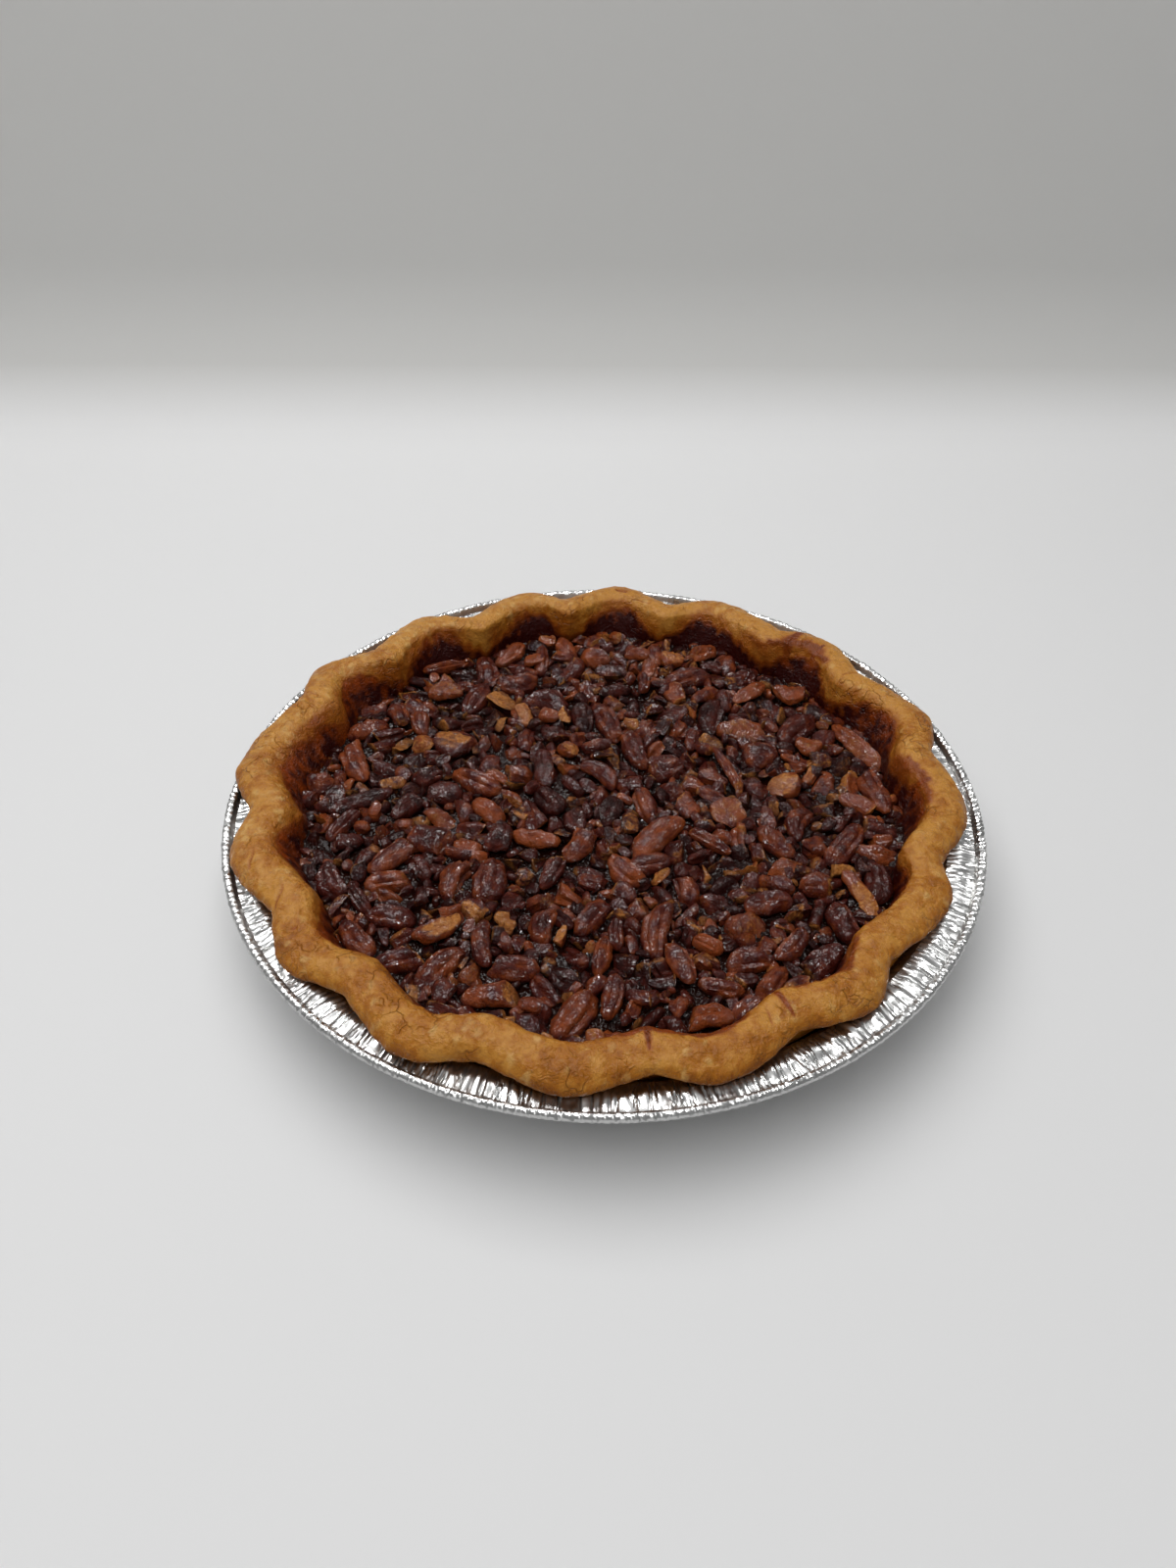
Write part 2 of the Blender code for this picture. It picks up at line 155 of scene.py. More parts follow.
# filling
SYRUP_HEIGHT = 25.6 * MM
PECAN_TOP = 28.9 * MM
THINNEST = 4.6 * MM
THICKEST = 7.4 * MM
SYRUP_SIDE = 250

# Pieces laid where there is room: how many, shortest and longest.
EXTRA_LARGE = (22, 13.0, 18.0)
MID_PIECES = (250, 7.0, 13.0)
SMALL_PIECES = (640, 3.4, 7.2)
MID_TOP = 31.4 * MM
SMALL_TOP = 31.2 * MM

# Pecans that stand out: x, y, heading, length, width, tone from dark to orange, how much is a bare break.
LANDMARKS = (
    (16, -16, 47, 24, 11, 0.55, 0), (15, -28, 15, 14, 8, 0.4, 0), (6, -32, -50, 15, 9, 0.6, 0),
    (15, -56, 78, 21, 9, 0.5, 0), (22, -70, -70, 17, 7, 0.5, 0), (30, -63, -30, 10, 6, 1.0, 0),
    (43, -55, 20, 13, 12, 0.6, 0.6), (42, -68, 5, 14, 9, 0.4, 0), (48, -77, 55, 15, 7, 0.5, 0.2),
    (33, -78, -12, 14, 6, 0.5, 0), (29, -88, 8, 14, 9, 0.6, 0.2), (2, -82, 80, 16, 6, 0.5, 0),
    (-9, -88, 58, 20, 10, 0.55, 0), (-1, -66, 80, 16, 6, 0.5, 0), (3, -58, 90, 12, 5, 0.4, 0),
    (72, -54, -75, 16, 9, 0.3, 0), (56, -62, 52, 16, 7, 0.4, 0), (79, -42, -70, 20, 6, 0.7, 0.5),
    (78, -20, 55, 22, 9, 0.4, 0), (55, -18, -60, 17, 8, 0.5, 0), (64, -9, 65, 16, 8, 0.4, 0),
    (42, -4, 30, 12, 11, 0.6, 0.9), (34, -18, -45, 18, 5, 0.5, 0.1), (66, -38, 0, 11, 9, 0.4, 0.1),
    (50, -45, 10, 16, 9, 0.35, 0), (87, -38, 80, 18, 9, 0.2, 0),
    (-36, -35, 85, 20, 11, 0.4, 0), (-56, -17, -20, 16, 13, 0.35, 0.2), (-68, -36, 5, 15, 8, 0.6, 0.2),
    (-65, -51, -5, 16, 8, 0.35, 0), (-74, -60, -52, 17, 8, 0.4, 0), (-49, -70, 52, 20, 9, 0.5, 0),
    (-50, -57, 30, 16, 8, 0.5, 0.5), (-33, -81, 5, 17, 9, 0.5, 0.4), (-19, -55, 78, 14, 8, 0.4, 0),
    (-22, -17, -20, 17, 8, 0.8, 0), (-8, -21, 65, 15, 9, 0.5, 0.2), (-34, -17, 80, 14, 9, 0.15, 0),
    (-37, -62, -85, 18, 6, 0.4, 0), (-27, -70, 0, 15, 11, 0.4, 0.1), (-4, -51, 60, 17, 8, 0.4, 0),
    (-82, 1, 20, 23, 8, 0.2, 0), (-68, -25, 50, 20, 9, 0.5, 0.3), (-86, -36, -65, 17, 9, 0.3, 0),
    (-76, -44, -60, 15, 5, 0.3, 0), (-86, -12, 60, 16, 6, 0.35, 0),
    (-43, 11, -33, 20, 9, 0.55, 0), (-53, 32, -30, 16, 15, 0.4, 0.5), (-87, 21, -70, 25, 9, 0.6, 0.3),
    (-54, 6, 0, 12, 12, 0.2, 0), (-47, 57, 70, 19, 9, 0.4, 0), (-20, 56, -20, 18, 12, 0.25, 0),
    (-7, 46, -85, 17, 8, 0.15, 0), (2, 44, -75, 26, 9, 0.4, 0), (11, 27, -75, 20, 8, 0.35, 0),
    (-58, 59, 0, 13, 9, 0.6, 0.8), (-60, 76, 30, 18, 5, 0.5, 0), (-35, 84, 50, 15, 8, 0.6, 0),
    (-2, 83, 0, 12, 11, 0.6, 0.2), (-97, 10, 20, 10, 10, 0.5, 0.1), (-23, 81, 90, 16, 6, 0.5, 0),
    (-74, 46, -70, 13, 7, 0.4, 0.1), (-66, 42, -75, 14, 7, 0.5, 0.1), (-26, 79, 20, 8, 6, 0.8, 0.9),
    (-19, 46, 0, 8, 6, 0.7, 0.8), (-12, 27, 0, 8, 6, 0.7, 0.7),
    (50, 40, -8, 18, 10, 0.6, 0.7), (40, 47, 75, 20, 9, 0.1, 0), (32, 70, 20, 20, 10, 0.4, 0),
    (70, 40, 50, 20, 11, 0.3, 0), (92, 31, -60, 26, 7, 0.7, 0.6), (93, 6, -80, 24, 8, 0.5, 0.3),
    (55, 59, 40, 16, 6, 0.7, 0.6), (70, 57, 0, 12, 9, 0.7, 0.8), (62, 9, 10, 12, 10, 0.6, 0.9),
    (43, 16, -72, 26, 4, 0.6, 0.4), (55, 25, 0, 13, 13, 0.35, 0), (22, 19, 20, 14, 12, 0.4, 0.1),
    (73, 29, 0, 10, 9, 0.7, 0.7), (16, 66, 90, 12, 5, 0.4, 0), (0, 14, -45, 16, 8, 0.4, 0),
    (45, 55, 90, 12, 6, 0.3, 0), (14, 84, 0, 10, 6, 0.6, 0), (20, 83, 90, 12, 6, 0.5, 0),
    (40, 85, 30, 12, 8, 0.6, 0.3), (27, 82, 0, 10, 8, 0.8, 0.7),
)

# Studio light: a broad soft source that casts the shadows, and panels for the reflections, each with its
# place, size and power.
SOFT_PLACE = (-0.16, 0.0, 1.05)
SOFT_SIZE = (1.5, 0.95)
SOFT_POWER = 10.3
PANELS = (
    ((-0.12, 0.10, 1.05), (0.15, 0.10), 2.9),
    ((-0.05, 0.05, 1.15), (0.9, 0.6), 0.5),
    ((0.0, 0.95, 0.80), (1.2, 0.5), 0.3),
    ((-0.30, 0.60, 0.90), (0.16, 0.11), 3.6),
    ((-0.62, 0.20, 0.70), (0.15, 0.115), 2.8),
    ((0.45, 0.30, 0.80), (0.125, 0.09), 2.2),
    ((0.16, -0.46, 0.95), (0.12, 0.09), 1.6),
)
ROOM_LIGHT = 0.25

# camera, fitted to the ellipse of the tin's rolled edge in the photo
CAMERA_PLACE = (-0.0064, -0.2904, 0.2953)
CAMERA_DOWN = 0.7312
CAMERA_ROLL = -0.0045
CAMERA_LENS = 27.05

# map of the filling from above, used to lay the pecans
CELL = 0.5 * MM
MAP_SIDE = 480
MAP_MIDDLE = MAP_SIDE // 2


def smooth(value, low, high):
    """0 below low, 1 above high, and a smooth step between."""
    share = np.clip((value - low) / (high - low), 0.0, 1.0)
    return share * share * (3.0 - 2.0 * share)


def noise(points, size, seed):
    """Smooth noise of about -1 to 1 at an (n, 3) array of points, in lumps of a size in millimetres."""
    scaled = points / (size * MM) + 71.3
    cell = np.floor(scaled)
    inside = scaled - cell
    cell = cell.astype(np.int64)
    fade = inside ** 3 * (inside * (inside * 6.0 - 15.0) + 10.0)
    total = np.zeros(len(points))
    for corner in itertools.product((0, 1), repeat=3):
        key = (cell + np.array(corner)).astype(np.uint32) * HASH_PRIMES
        mixed = key[:, 0] ^ key[:, 1] ^ key[:, 2] ^ np.uint32(seed * 2654435761 % 2 ** 32)
        for shift, factor in HASH_STEPS:
            mixed ^= mixed >> np.uint32(shift)
            mixed *= np.uint32(factor)
        bits = [(mixed >> np.uint32(shift)) & np.uint32(1023) for shift in (0, 10, 20)]
        slope = np.stack(bits, axis=1) / 511.5 - 1.0
        away = inside - np.array(corner)
        weight = np.prod(np.where(np.array(corner) == 1, fade, 1.0 - fade), axis=1)
        total += weight * np.sum(slope * away, axis=1)
    return total * 1.7


def direction(angle):
    """The unit vector of the plan at an angle in radians."""
    return np.array([math.cos(angle), math.sin(angle)])


def add_object(name, data):
    """An object of the given data, linked to the scene."""
    thing = bpy.data.objects.new(name, data)
    bpy.context.scene.collection.objects.link(thing)
    return thing


def add_piece(name, points, faces, material, looks=None, sharp=None):
    """A mesh object of the given points and faces, with its looks kept as a colour on each point."""
    mesh = bpy.data.meshes.new(name)
    mesh.from_pydata(points.tolist(), [], faces)
    mesh.shade_smooth()
    if sharp is not None:
        mesh.set_sharp_from_angle(angle=math.radians(sharp))
    if looks is not None:
        layer = mesh.color_attributes.new("looks", "FLOAT_COLOR", "POINT")
        full = np.ones((len(points), 4), np.float32)
        full[:, :3] = looks
        layer.data.foreach_set("color", full.ravel())
    mesh.materials.append(material)
    return add_object(name, mesh)


def belongs(piece, node):
    """Say that a piece rides on the pie's body and stands for one of its solids."""
    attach(piece, BODY)
    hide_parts(node)


def face_list(*corners):
    """Faces from arrays of their first corners, second corners and so on."""
    return np.stack(corners, axis=-1).reshape(-1, len(corners)).tolist()


def tip_faces(tips, first, second, third, fourth):
    """Triangles from the first tip to two rows of points, each followed by one from the second tip."""
    first_tip, second_tip = (np.full_like(first, tip) for tip in tips)
    return np.stack([first_tip, first, second, second_tip, third, fourth], axis=1).reshape(-1, 3).tolist()


def closed_turn(grid):
    """Points and faces of a (columns, rows, 3) grid round the axis, closed at both ends by a point."""
    count = grid.shape[0] * grid.shape[1]
    ends = [grid[:, 0].mean(axis=0), grid[:, -1].mean(axis=0)]
    here = np.arange(count).reshape(grid.shape[:2])
    beside = np.roll(here, -1, axis=0)
    faces = face_list(here[:, :-1], beside[:, :-1], beside[:, 1:], here[:, 1:])
    faces += tip_faces((count, count + 1), beside[:, 0], here[:, 0], here[:, -1], beside[:, -1])
    return np.concatenate([grid.reshape(-1, 3), ends]), faces


def grid_normals(grid):
    """Outward normals of a (columns, rows, 3) grid that closes round the axis."""
    across = np.roll(grid, -1, axis=0) - np.roll(grid, 1, axis=0)
    down = np.gradient(grid, axis=1)
    normal = np.cross(across, down)
    return normal / np.maximum(np.linalg.norm(normal, axis=2, keepdims=True), 1e-12)


def spline_rows(section, counts):
    """Smooth the (n, knots, 2) sections with a Catmull-Rom curve, counts[i] rows from knot i on."""
    rows, knot_of_row = [], []
    last = section.shape[1] - 1
    for knot, count in enumerate(counts):
        before = section[:, max(knot - 1, 0)]
        start = section[:, knot]
        end = section[:, knot + 1]
        after = section[:, min(knot + 2, last)]
        for step in range(count):
            t = step / count
            curve = 2.0 * start + (end - before) * t
            curve += (2.0 * before - 5.0 * start + 4.0 * end - after) * t * t
            curve += (3.0 * start - before - 3.0 * end + after) * t ** 3
            rows.append(0.5 * curve)
            knot_of_row.append(knot + t)
    rows.append(section[:, last])
    knot_of_row.append(float(last))
    return np.stack(rows, axis=1), np.array(knot_of_row)


def turned_grid(profile, bearings):
    """Turn (columns, rows, 2) radius and height into points, each column at its bearing."""
    radius, height = profile[..., 0], profile[..., 1]
    cosine, sine = np.cos(bearings)[:, None], np.sin(bearings)[:, None]
    return np.stack([radius * cosine, radius * sine, height], axis=-1)


class Nodes:
    """A short way to write a material's nodes."""

    def __init__(self, name):
        self.material = bpy.data.materials.new(name)
        self.material.use_nodes = True
        self.tree = self.material.node_tree
        self.shader = self.tree.nodes["Principled BSDF"]

    def add(self, kind, inputs=None, **settings):
        """A node with settings, its inputs set to numbers or linked to other nodes' outputs."""
        node = self.tree.nodes.new(kind)
        for key, value in settings.items():
            setattr(node, key, value)
        for key, value in (inputs or {}).items():
            self.put(node.inputs[key], value)
        return node

    def put(self, socket, value):
        """Set a socket, or link an output to it."""
        if isinstance(value, bpy.types.NodeSocket):
            self.tree.links.new(value, socket)
        else:
            socket.default_value = value

    def noise(self, scale, detail=3.0, roughness=0.55, distortion=0.0):
        """Noise on the object's own coordinates, scale in lumps per metre."""
        place = self.add("ShaderNodeTexCoord").outputs["Object"]
        inputs = {"Vector": place, "Scale": scale, "Detail": detail}
        inputs.update({"Roughness": roughness, "Distortion": distortion})
        return self.add("ShaderNodeTexNoise", inputs).outputs["Fac"]

    def math(self, operation, first, second, clamp=False):
        """Arithmetic on two values."""
        node = self.add("ShaderNodeMath", {0: first, 1: second}, operation=operation, use_clamp=clamp)
        return node.outputs[0]

    def plus(self, first, second, clamp=False):
        """The sum of two values."""
        return self.math("ADD", first, second, clamp)

    def times(self, first, second):
        """The product of two values."""
        return self.math("MULTIPLY", first, second)

    def spread(self, value, low, high, new_low=0.0, new_high=1.0):
        """Map a value from one range to another, kept inside it."""
        inputs = {"Value": value, "From Min": low, "From Max": high, "To Min": new_low, "To Max": new_high}
        return self.add("ShaderNodeMapRange", inputs).outputs["Result"]

    def mix(self, share, first, second, blend="MIX"):
        """Mix two colours."""
        node = self.add("ShaderNodeMix", data_type="RGBA", blend_type=blend)
        self.put(node.inputs["Factor"], share)
        for index, colour in ((6, first), (7, second)):
            linked = isinstance(colour, bpy.types.NodeSocket)
            self.put(node.inputs[index], colour if linked else (*colour, 1.0))
        return node.outputs[2]

    def looks(self):
        """The three numbers kept on each point."""
        layer = self.add("ShaderNodeVertexColor", layer_name="looks")
        parts = self.add("ShaderNodeSeparateColor", {"Color": layer.outputs["Color"]})
        return parts.outputs["Red"], parts.outputs["Green"], parts.outputs["Blue"]

    def bump(self, height, strength, distance):
        """A bump node's normal."""
        inputs = {"Height": height, "Strength": strength, "Distance": distance}
        return self.add("ShaderNodeBump", inputs).outputs["Normal"]

    def set(self, **values):
        """Set the shader's sockets; underscores stand for spaces."""
        for key, value in values.items():
            self.put(self.shader.inputs[key.replace("_", " ")], value)


def foil_material():
    """Thin bright foil with fine crinkles."""
    nodes = Nodes("foil_look")
    crinkle = nodes.noise(420.0, 4.0, 0.6, 0.4)
    smudge = nodes.noise(60.0, 3.0)
    nodes.set(
        Base_Color=nodes.mix(smudge, (0.52, 0.52, 0.515), (0.66, 0.66, 0.652)),
        Metallic=1.0,
        Roughness=nodes.spread(smudge, 0.3, 0.7, 0.24, 0.35),
        Normal=nodes.bump(crinkle, 0.25, 0.12 * MM),
    )
    return nodes.material


def pastry_material():
    """Baked pastry: gold on the crest, browner low down, stained by syrup inside, and paler towards the back
    by painted light.
    """
    nodes = Nodes("pastry_look")
    browning_and_painted_light, glaze, pale = nodes.looks()
    blotch = nodes.noise(90.0, 4.0, 0.6)
    patch = nodes.noise(300.0, 3.0, 0.6, 0.5)
    fine = nodes.noise(520.0, 4.0, 0.65)
    speck = nodes.noise(1500.0, 2.0, 0.6)
    tone = nodes.plus(browning_and_painted_light, nodes.spread(blotch, 0.3, 0.7, -0.32, 0.32))
    tone = nodes.plus(tone, nodes.spread(patch, 0.3, 0.7, -0.34, 0.34), True)
    gold = nodes.mix(nodes.spread(tone, 0.0, 0.5), (0.52, 0.232, 0.036), (0.38, 0.130, 0.009))
    baked = nodes.mix(nodes.spread(tone, 0.5, 1.0), gold, (0.24, 0.070, 0.005))
    place = nodes.add("ShaderNodeTexCoord").outputs["Object"]
    waves = nodes.add("ShaderNodeTexNoise", {"Vector": place, "Scale": 170.0}).outputs["Color"]
    warp = nodes.mix(0.012, place, waves)
    bubble = nodes.add("ShaderNodeTexVoronoi", {"Vector": warp, "Scale": 520.0}).outputs["Distance"]
    bubble = nodes.spread(bubble, 0.08, 0.5, 1.0, 0.0)
    bubble = nodes.times(bubble, nodes.spread(blotch, 0.42, 0.58, 0.15, 1.0))
    light = nodes.plus(nodes.plus(pale, fine), nodes.times(bubble, 0.22))
    lit = nodes.mix(nodes.spread(light, 0.60, 1.2, 0.0, 0.70), baked, (0.62, 0.36, 0.11))
    grainy = nodes.mix(nodes.spread(fine, 0.53, 0.68, 0.0, 0.45), lit, (0.27, 0.086, 0.007))
    cell = nodes.add("ShaderNodeTexVoronoi", {"Vector": warp, "Scale": 120.0}, feature="DISTANCE_TO_EDGE")
    crack = nodes.spread(cell.outputs["Distance"], 0.0, 0.045, 1.0, 0.0)
    crack = nodes.times(crack, nodes.spread(nodes.noise(60.0, 2.0), 0.52, 0.62))
    grainy = nodes.mix(nodes.times(crack, 0.55), grainy, (0.22, 0.065, 0.006))
    caramel = nodes.mix(nodes.spread(glaze, 0.05, 0.4), grainy, (0.27, 0.059, 0.003))
    streak = nodes.spread(nodes.plus(pale, nodes.spread(patch, 0.3, 0.7, -0.2, 0.2)), 0.25, 0.8)
    runs = nodes.mix(streak, (0.028, 0.0011, 0.0001), (0.235, 0.0370, 0.0006))
    stained = nodes.mix(nodes.spread(glaze, 0.30, 0.74), caramel, runs)
    grit = nodes.times(nodes.plus(fine, speck), 0.5)
    height = nodes.plus(nodes.noise(260.0, 4.0, 0.6), grit)
    height = nodes.math("SUBTRACT", height, nodes.times(crack, 0.5))
    height = nodes.plus(height, nodes.times(bubble, 0.45))
    nodes.set(
        Base_Color=stained,
        Roughness=nodes.spread(glaze, 0.1, 0.8, 0.38, 0.32),
        Normal=nodes.bump(height, 1.0, 0.6 * MM),
        Coat_Weight=nodes.spread(glaze, 0.2, 0.8, 0.0, 0.03),
    )
    nodes.set(Coat_Roughness=0.12, Specular_IOR_Level=0.17)
    return nodes.material


def syrup_material():
    """Set dark syrup, wrinkled and shiny."""
    nodes = Nodes("syrup_look")
    wrinkle = nodes.noise(340.0, 1.0, 0.4, 1.5)
    patch = nodes.noise(140.0, 3.0)
    nodes.set(
        Base_Color=nodes.mix(patch, (0.004, 0.0008, 0.0005), (0.018, 0.0030, 0.0012)),
        Roughness=nodes.spread(patch, 0.3, 0.7, 0.04, 0.09),
        Normal=nodes.bump(wrinkle, 1.0, 1.1 * MM),
    )
    nodes.set(Specular_IOR_Level=0.20)
    return nodes.material


def pecan_material():
    """Pecans under a dark glaze, with bare tan breaks, and painted shade on the parts low in the gaps."""
    nodes = Nodes("pecan_look")
    tone, broken, own = nodes.looks()
    blotch = nodes.noise(260.0, 3.0, 0.6)
    mottle = nodes.noise(900.0, 3.0, 0.65)
    grain = nodes.noise(430.0, 4.0, 0.7, 0.6)
    wrinkle = nodes.noise(640.0, 0.5, 0.4, 0.9)
    patch = nodes.spread(nodes.noise(210.0, 3.0, 0.6), 0.44, 0.60, 0.1, 1.0)
    shade = nodes.plus(tone, nodes.spread(blotch, 0.3, 0.7, -0.28, 0.28), True)
    dark = nodes.mix(nodes.spread(shade, 0.0, 0.5), (0.017, 0.0018, 0.0012), (0.070, 0.0090, 0.0046))
    glazed = nodes.mix(nodes.spread(shade, 0.5, 1.0), dark, (0.225, 0.046, 0.009))
    light = nodes.mix(nodes.spread(mottle, 0.35, 0.65), (0.27, 0.078, 0.011), (0.50, 0.21, 0.052))
    flesh = nodes.mix(nodes.spread(nodes.plus(own, grain), 0.6, 1.2), (0.12, 0.028, 0.006), light)
    worn = nodes.plus(nodes.times(own, 0.5), nodes.times(grain, 2.0))
    bare = nodes.times(broken, nodes.spread(worn, 1.06, 1.45, 0.0, 0.95))
    film = nodes.times(wrinkle, nodes.spread(patch, 0.1, 1.0, 0.35, 1.0))
    coat = nodes.spread(bare, 0.2, 0.9, 1.0, 0.5)
    # Less coat where the tone is darkest, which includes the painted shade low in the gaps.
    coat = nodes.times(coat, nodes.spread(tone, 0.0, 0.3, 0.45, 1.0))
    nodes.set(
        Base_Color=nodes.mix(bare, glazed, flesh),
        Roughness=nodes.spread(bare, 0.2, 0.9, 0.42, 0.52),
        Normal=nodes.bump(nodes.plus(grain, mottle), 0.9, 0.75 * MM),
        Coat_Weight=nodes.times(coat, nodes.spread(patch, 0.1, 1.0, 0.2, 1.0)),
        Coat_Normal=nodes.bump(film, 1.0, 1.05 * MM),
    )
    nodes.set(Coat_Roughness=0.03, Coat_IOR=1.58, Specular_IOR_Level=0.05)
    return nodes.material


def wall_radius(height):
    """The tin wall's outer radius at a height."""
    share = (height - WALL_FOOT) / (WALL_TOP - WALL_FOOT)
    return BASE_RADIUS + MM + share * (WALL_TOP_RADIUS - BASE_RADIUS - MM)


def line(start, end, count):
    """Points from start up to but not at the end."""
    share = np.arange(count)[:, None] / count
    return np.array(start) + share * (np.array(end) - np.array(start))


def pleat_height(bearing, radius, tables):
    """Uneven pleats: flat facets, each tilted its own way, with a narrow fold between them."""
    edges, heights, tilts, leans, falls = tables
    count = len(heights)
    around = bearing / TURN % 1.0
    shear = np.interp(around * count, np.arange(count + 1), np.append(leans, leans[0]))
    moved = (bearing + shear * (radius - FLANGE_INNER_RADIUS) / FLANGE_INNER_RADIUS) / TURN % 1.0
    index = np.clip(np.searchsorted(edges, moved, side="right") - 1, 0, count - 1)
    share = (moved - edges[index]) / (edges[index + 1] - edges[index])
    flat = np.clip(np.minimum(share, 1.0 - share) / FOLD_SHARE, 0.0, 1.0)
    out = np.clip((radius - FLANGE_INNER_RADIUS) / (FLANGE_OUTER_RADIUS - FLANGE_INNER_RADIUS), 0.0, 1.0)
    lean = FLANGE_LIFT * smooth(out, 0.0, 0.45) - falls[index] * np.clip((out - 0.45) / 0.55, 0.0, 1.0)
    return heights[index] * (flat + tilts[index] * (share - 0.5)), lean


def uneven_parts(rng, widths, most, circle):
    """The edges of parts of uneven width that fill a circle, as shares of it."""
    edges = np.append(0.0, np.cumsum(rng.uniform(*widths, most)))
    edges = edges[edges < circle - widths[0]]
    return np.append(edges, circle) / circle


def make_tin():
    """The tin: flat base, fluted wall, pleated flange and a rolled, knurled bead."""
    rng = np.random.default_rng(11)
    edges = uneven_parts(rng, PLEAT_WIDTHS, MOST_PLEATS, FOLD_CIRCLE)
    count = len(edges) - 1
    fullness = np.clip(np.diff(edges) * TURN * FOLD_RADIUS / FULL_WIDTH, 0.35, 1.0)
    tables = (
        edges,
        rng.uniform(*PLEAT_HEIGHTS, count) * MM * fullness,
        rng.uniform(-0.75, 0.75, count),
        rng.normal(0.0, 0.22, count),
        rng.uniform(*FLANGE_FALLS, count) * MM,
    )
    bead = (TIN_RADIUS - BEAD_RADIUS, FLANGE_HEIGHT + MM)
    angle = np.radians(np.linspace(160.0, -160.0, 11))
    rolled = np.stack([bead[0] + BEAD_RADIUS * np.cos(angle), bead[1] + BEAD_RADIUS * np.sin(angle)], axis=1)
    foot, top = (wall_radius(WALL_FOOT), WALL_FOOT), (wall_radius(WALL_TOP), WALL_TOP)
    inner_foot, inner_top = (foot[0] - FOIL, WALL_FOOT), (top[0] - FOIL, WALL_TOP)
    flange_in = (FLANGE_INNER_RADIUS, FLANGE_HEIGHT + 0.2 * MM)
    flange_out = (FLANGE_OUTER_RADIUS, FLANGE_HEIGHT + FOIL)
    flange_under = (FLANGE_INNER_RADIUS, FLANGE_HEIGHT - 0.2 * MM)
    profile = np.concatenate([
        line((BASE_RADIUS - 1.4 * MM, FOIL), inner_foot, 2),
        line(inner_foot, inner_top, 3),
        line((inner_top[0], WALL_TOP + 0.2 * MM), flange_in, 2),
        line(flange_in, flange_out, 7),
        [flange_out],
        rolled,
        line((FLANGE_OUTER_RADIUS, FLANGE_HEIGHT), flange_under, 2),
        line(flange_under, top, 1),
        line(top, foot, 5),
        [foot, (BASE_RADIUS, 0.5 * MM), (BASE_RADIUS - MM, 0.0)],
    ])
    bearings = np.arange(TIN_COLUMNS) / TIN_COLUMNS * TURN
    rows = np.repeat(profile[None], TIN_COLUMNS, axis=0)
    radius, height = rows[..., 0].copy(), rows[..., 1].copy()
    at = np.repeat(bearings[:, None], len(profile), axis=1)
    fold, lean = pleat_height(at, radius, tables)
    low = 0.25 * sum(PLEAT_HEIGHTS) * MM
    on_flange = smooth(radius, WALL_TOP_RADIUS, FLANGE_INNER_RADIUS + MM)
    on_bead = smooth(radius, FLANGE_OUTER_RADIUS - MM, FLANGE_OUTER_RADIUS + MM)
    on_wall = smooth(height, 3.0 * MM, 9.0 * MM) * (1.0 - on_flange)
    wander = 0.8 + 0.3 * np.sin(9.0 * at + 0.4) + 0.2 * np.sin(5.0 * at + 1.0)
    broad = 0.4 * SOLID_PLEAT_DEPTH * wander * np.cos(SOLID_PLEATS * at)
    rows[..., 1] = height + on_flange * (1.0 - 0.85 * on_bead) * (fold - low + broad)
    rows[..., 0] = radius + on_wall * (0.8 * (fold - low) + 0.9 * broad)
    rows[..., 1] += on_flange * (1.0 - on_bead) * lean
    grid = turned_grid(rows, bearings)
    flat = grid.reshape(-1, 3)
    parts = uneven_parts(rng, BEAD_PARTS, MOST_PARTS, BEAD_CIRCLE)
    twist = (at + 0.006 * (rows[..., 1] - bead[1]) / BEAD_RADIUS) / TURN % 1.0
    part = np.clip(np.searchsorted(parts, twist, side="right") - 1, 0, len(parts) - 2)
    share = (twist - parts[part]) / (parts[part + 1] - parts[part])
    own = rng.uniform(-0.4, 0.4, MOST_PARTS)[part]
    knurl = 1.1 * np.clip(np.minimum(share, 1.0 - share) / 0.3, 0.0, 1.0) - 0.9 + own
    knurl = knurl + 0.35 * noise(flat, 1.1, 6).reshape(at.shape)
    shove = 0.34 * MM * knurl * on_bead * smooth(radius, 121.0 * MM, 122.0 * MM)
    outward = np.stack([np.cos(at), np.sin(at), np.ones_like(at)], axis=-1)
    grid = grid + outward * shove[..., None] * 0.7
    dent = 0.05 * MM * noise(flat, 5.0, 8).reshape(at.shape) * on_flange * (1.0 - on_bead)
    grid[..., 2] += dent
    points, faces = closed_turn(grid)
    piece = add_piece("foil_tin", points, faces, foil_material(), sharp=32.0)
    belongs(piece, "tin")


def flute(bearings):
    """For each bearing: 1 on a lobe to 0 in a valley, and the reach of both."""
    lobe_at, lobe_reach, valley_at, valley_reach = np.array(FLUTES).T
    knots = np.stack([lobe_at, valley_at], axis=1).ravel()
    degrees = (np.degrees(bearings) - knots[0]) % 360.0 + knots[0]
    index = np.searchsorted(knots, degrees, side="right") - 1
    following = np.append(knots[1:], knots[0] + 360.0)[index]
    share = (degrees - knots[index]) / (following - knots[index])
    from_lobe = index % 2 == 0
    share = np.where(from_lobe, share, 1.0 - share)
    row = index // 2
    rounded = 0.5 + 0.5 * np.cos(math.pi * share)
    lobe = (1.0 - VALLEY_SHARPNESS) * rounded + VALLEY_SHARPNESS * np.cos(0.5 * math.pi * share)
    near_lobe = np.where(from_lobe, lobe_reach[row], lobe_reach[(row + 1) % len(FLUTES)])
    return lobe, near_lobe * MM, valley_reach[row] * MM


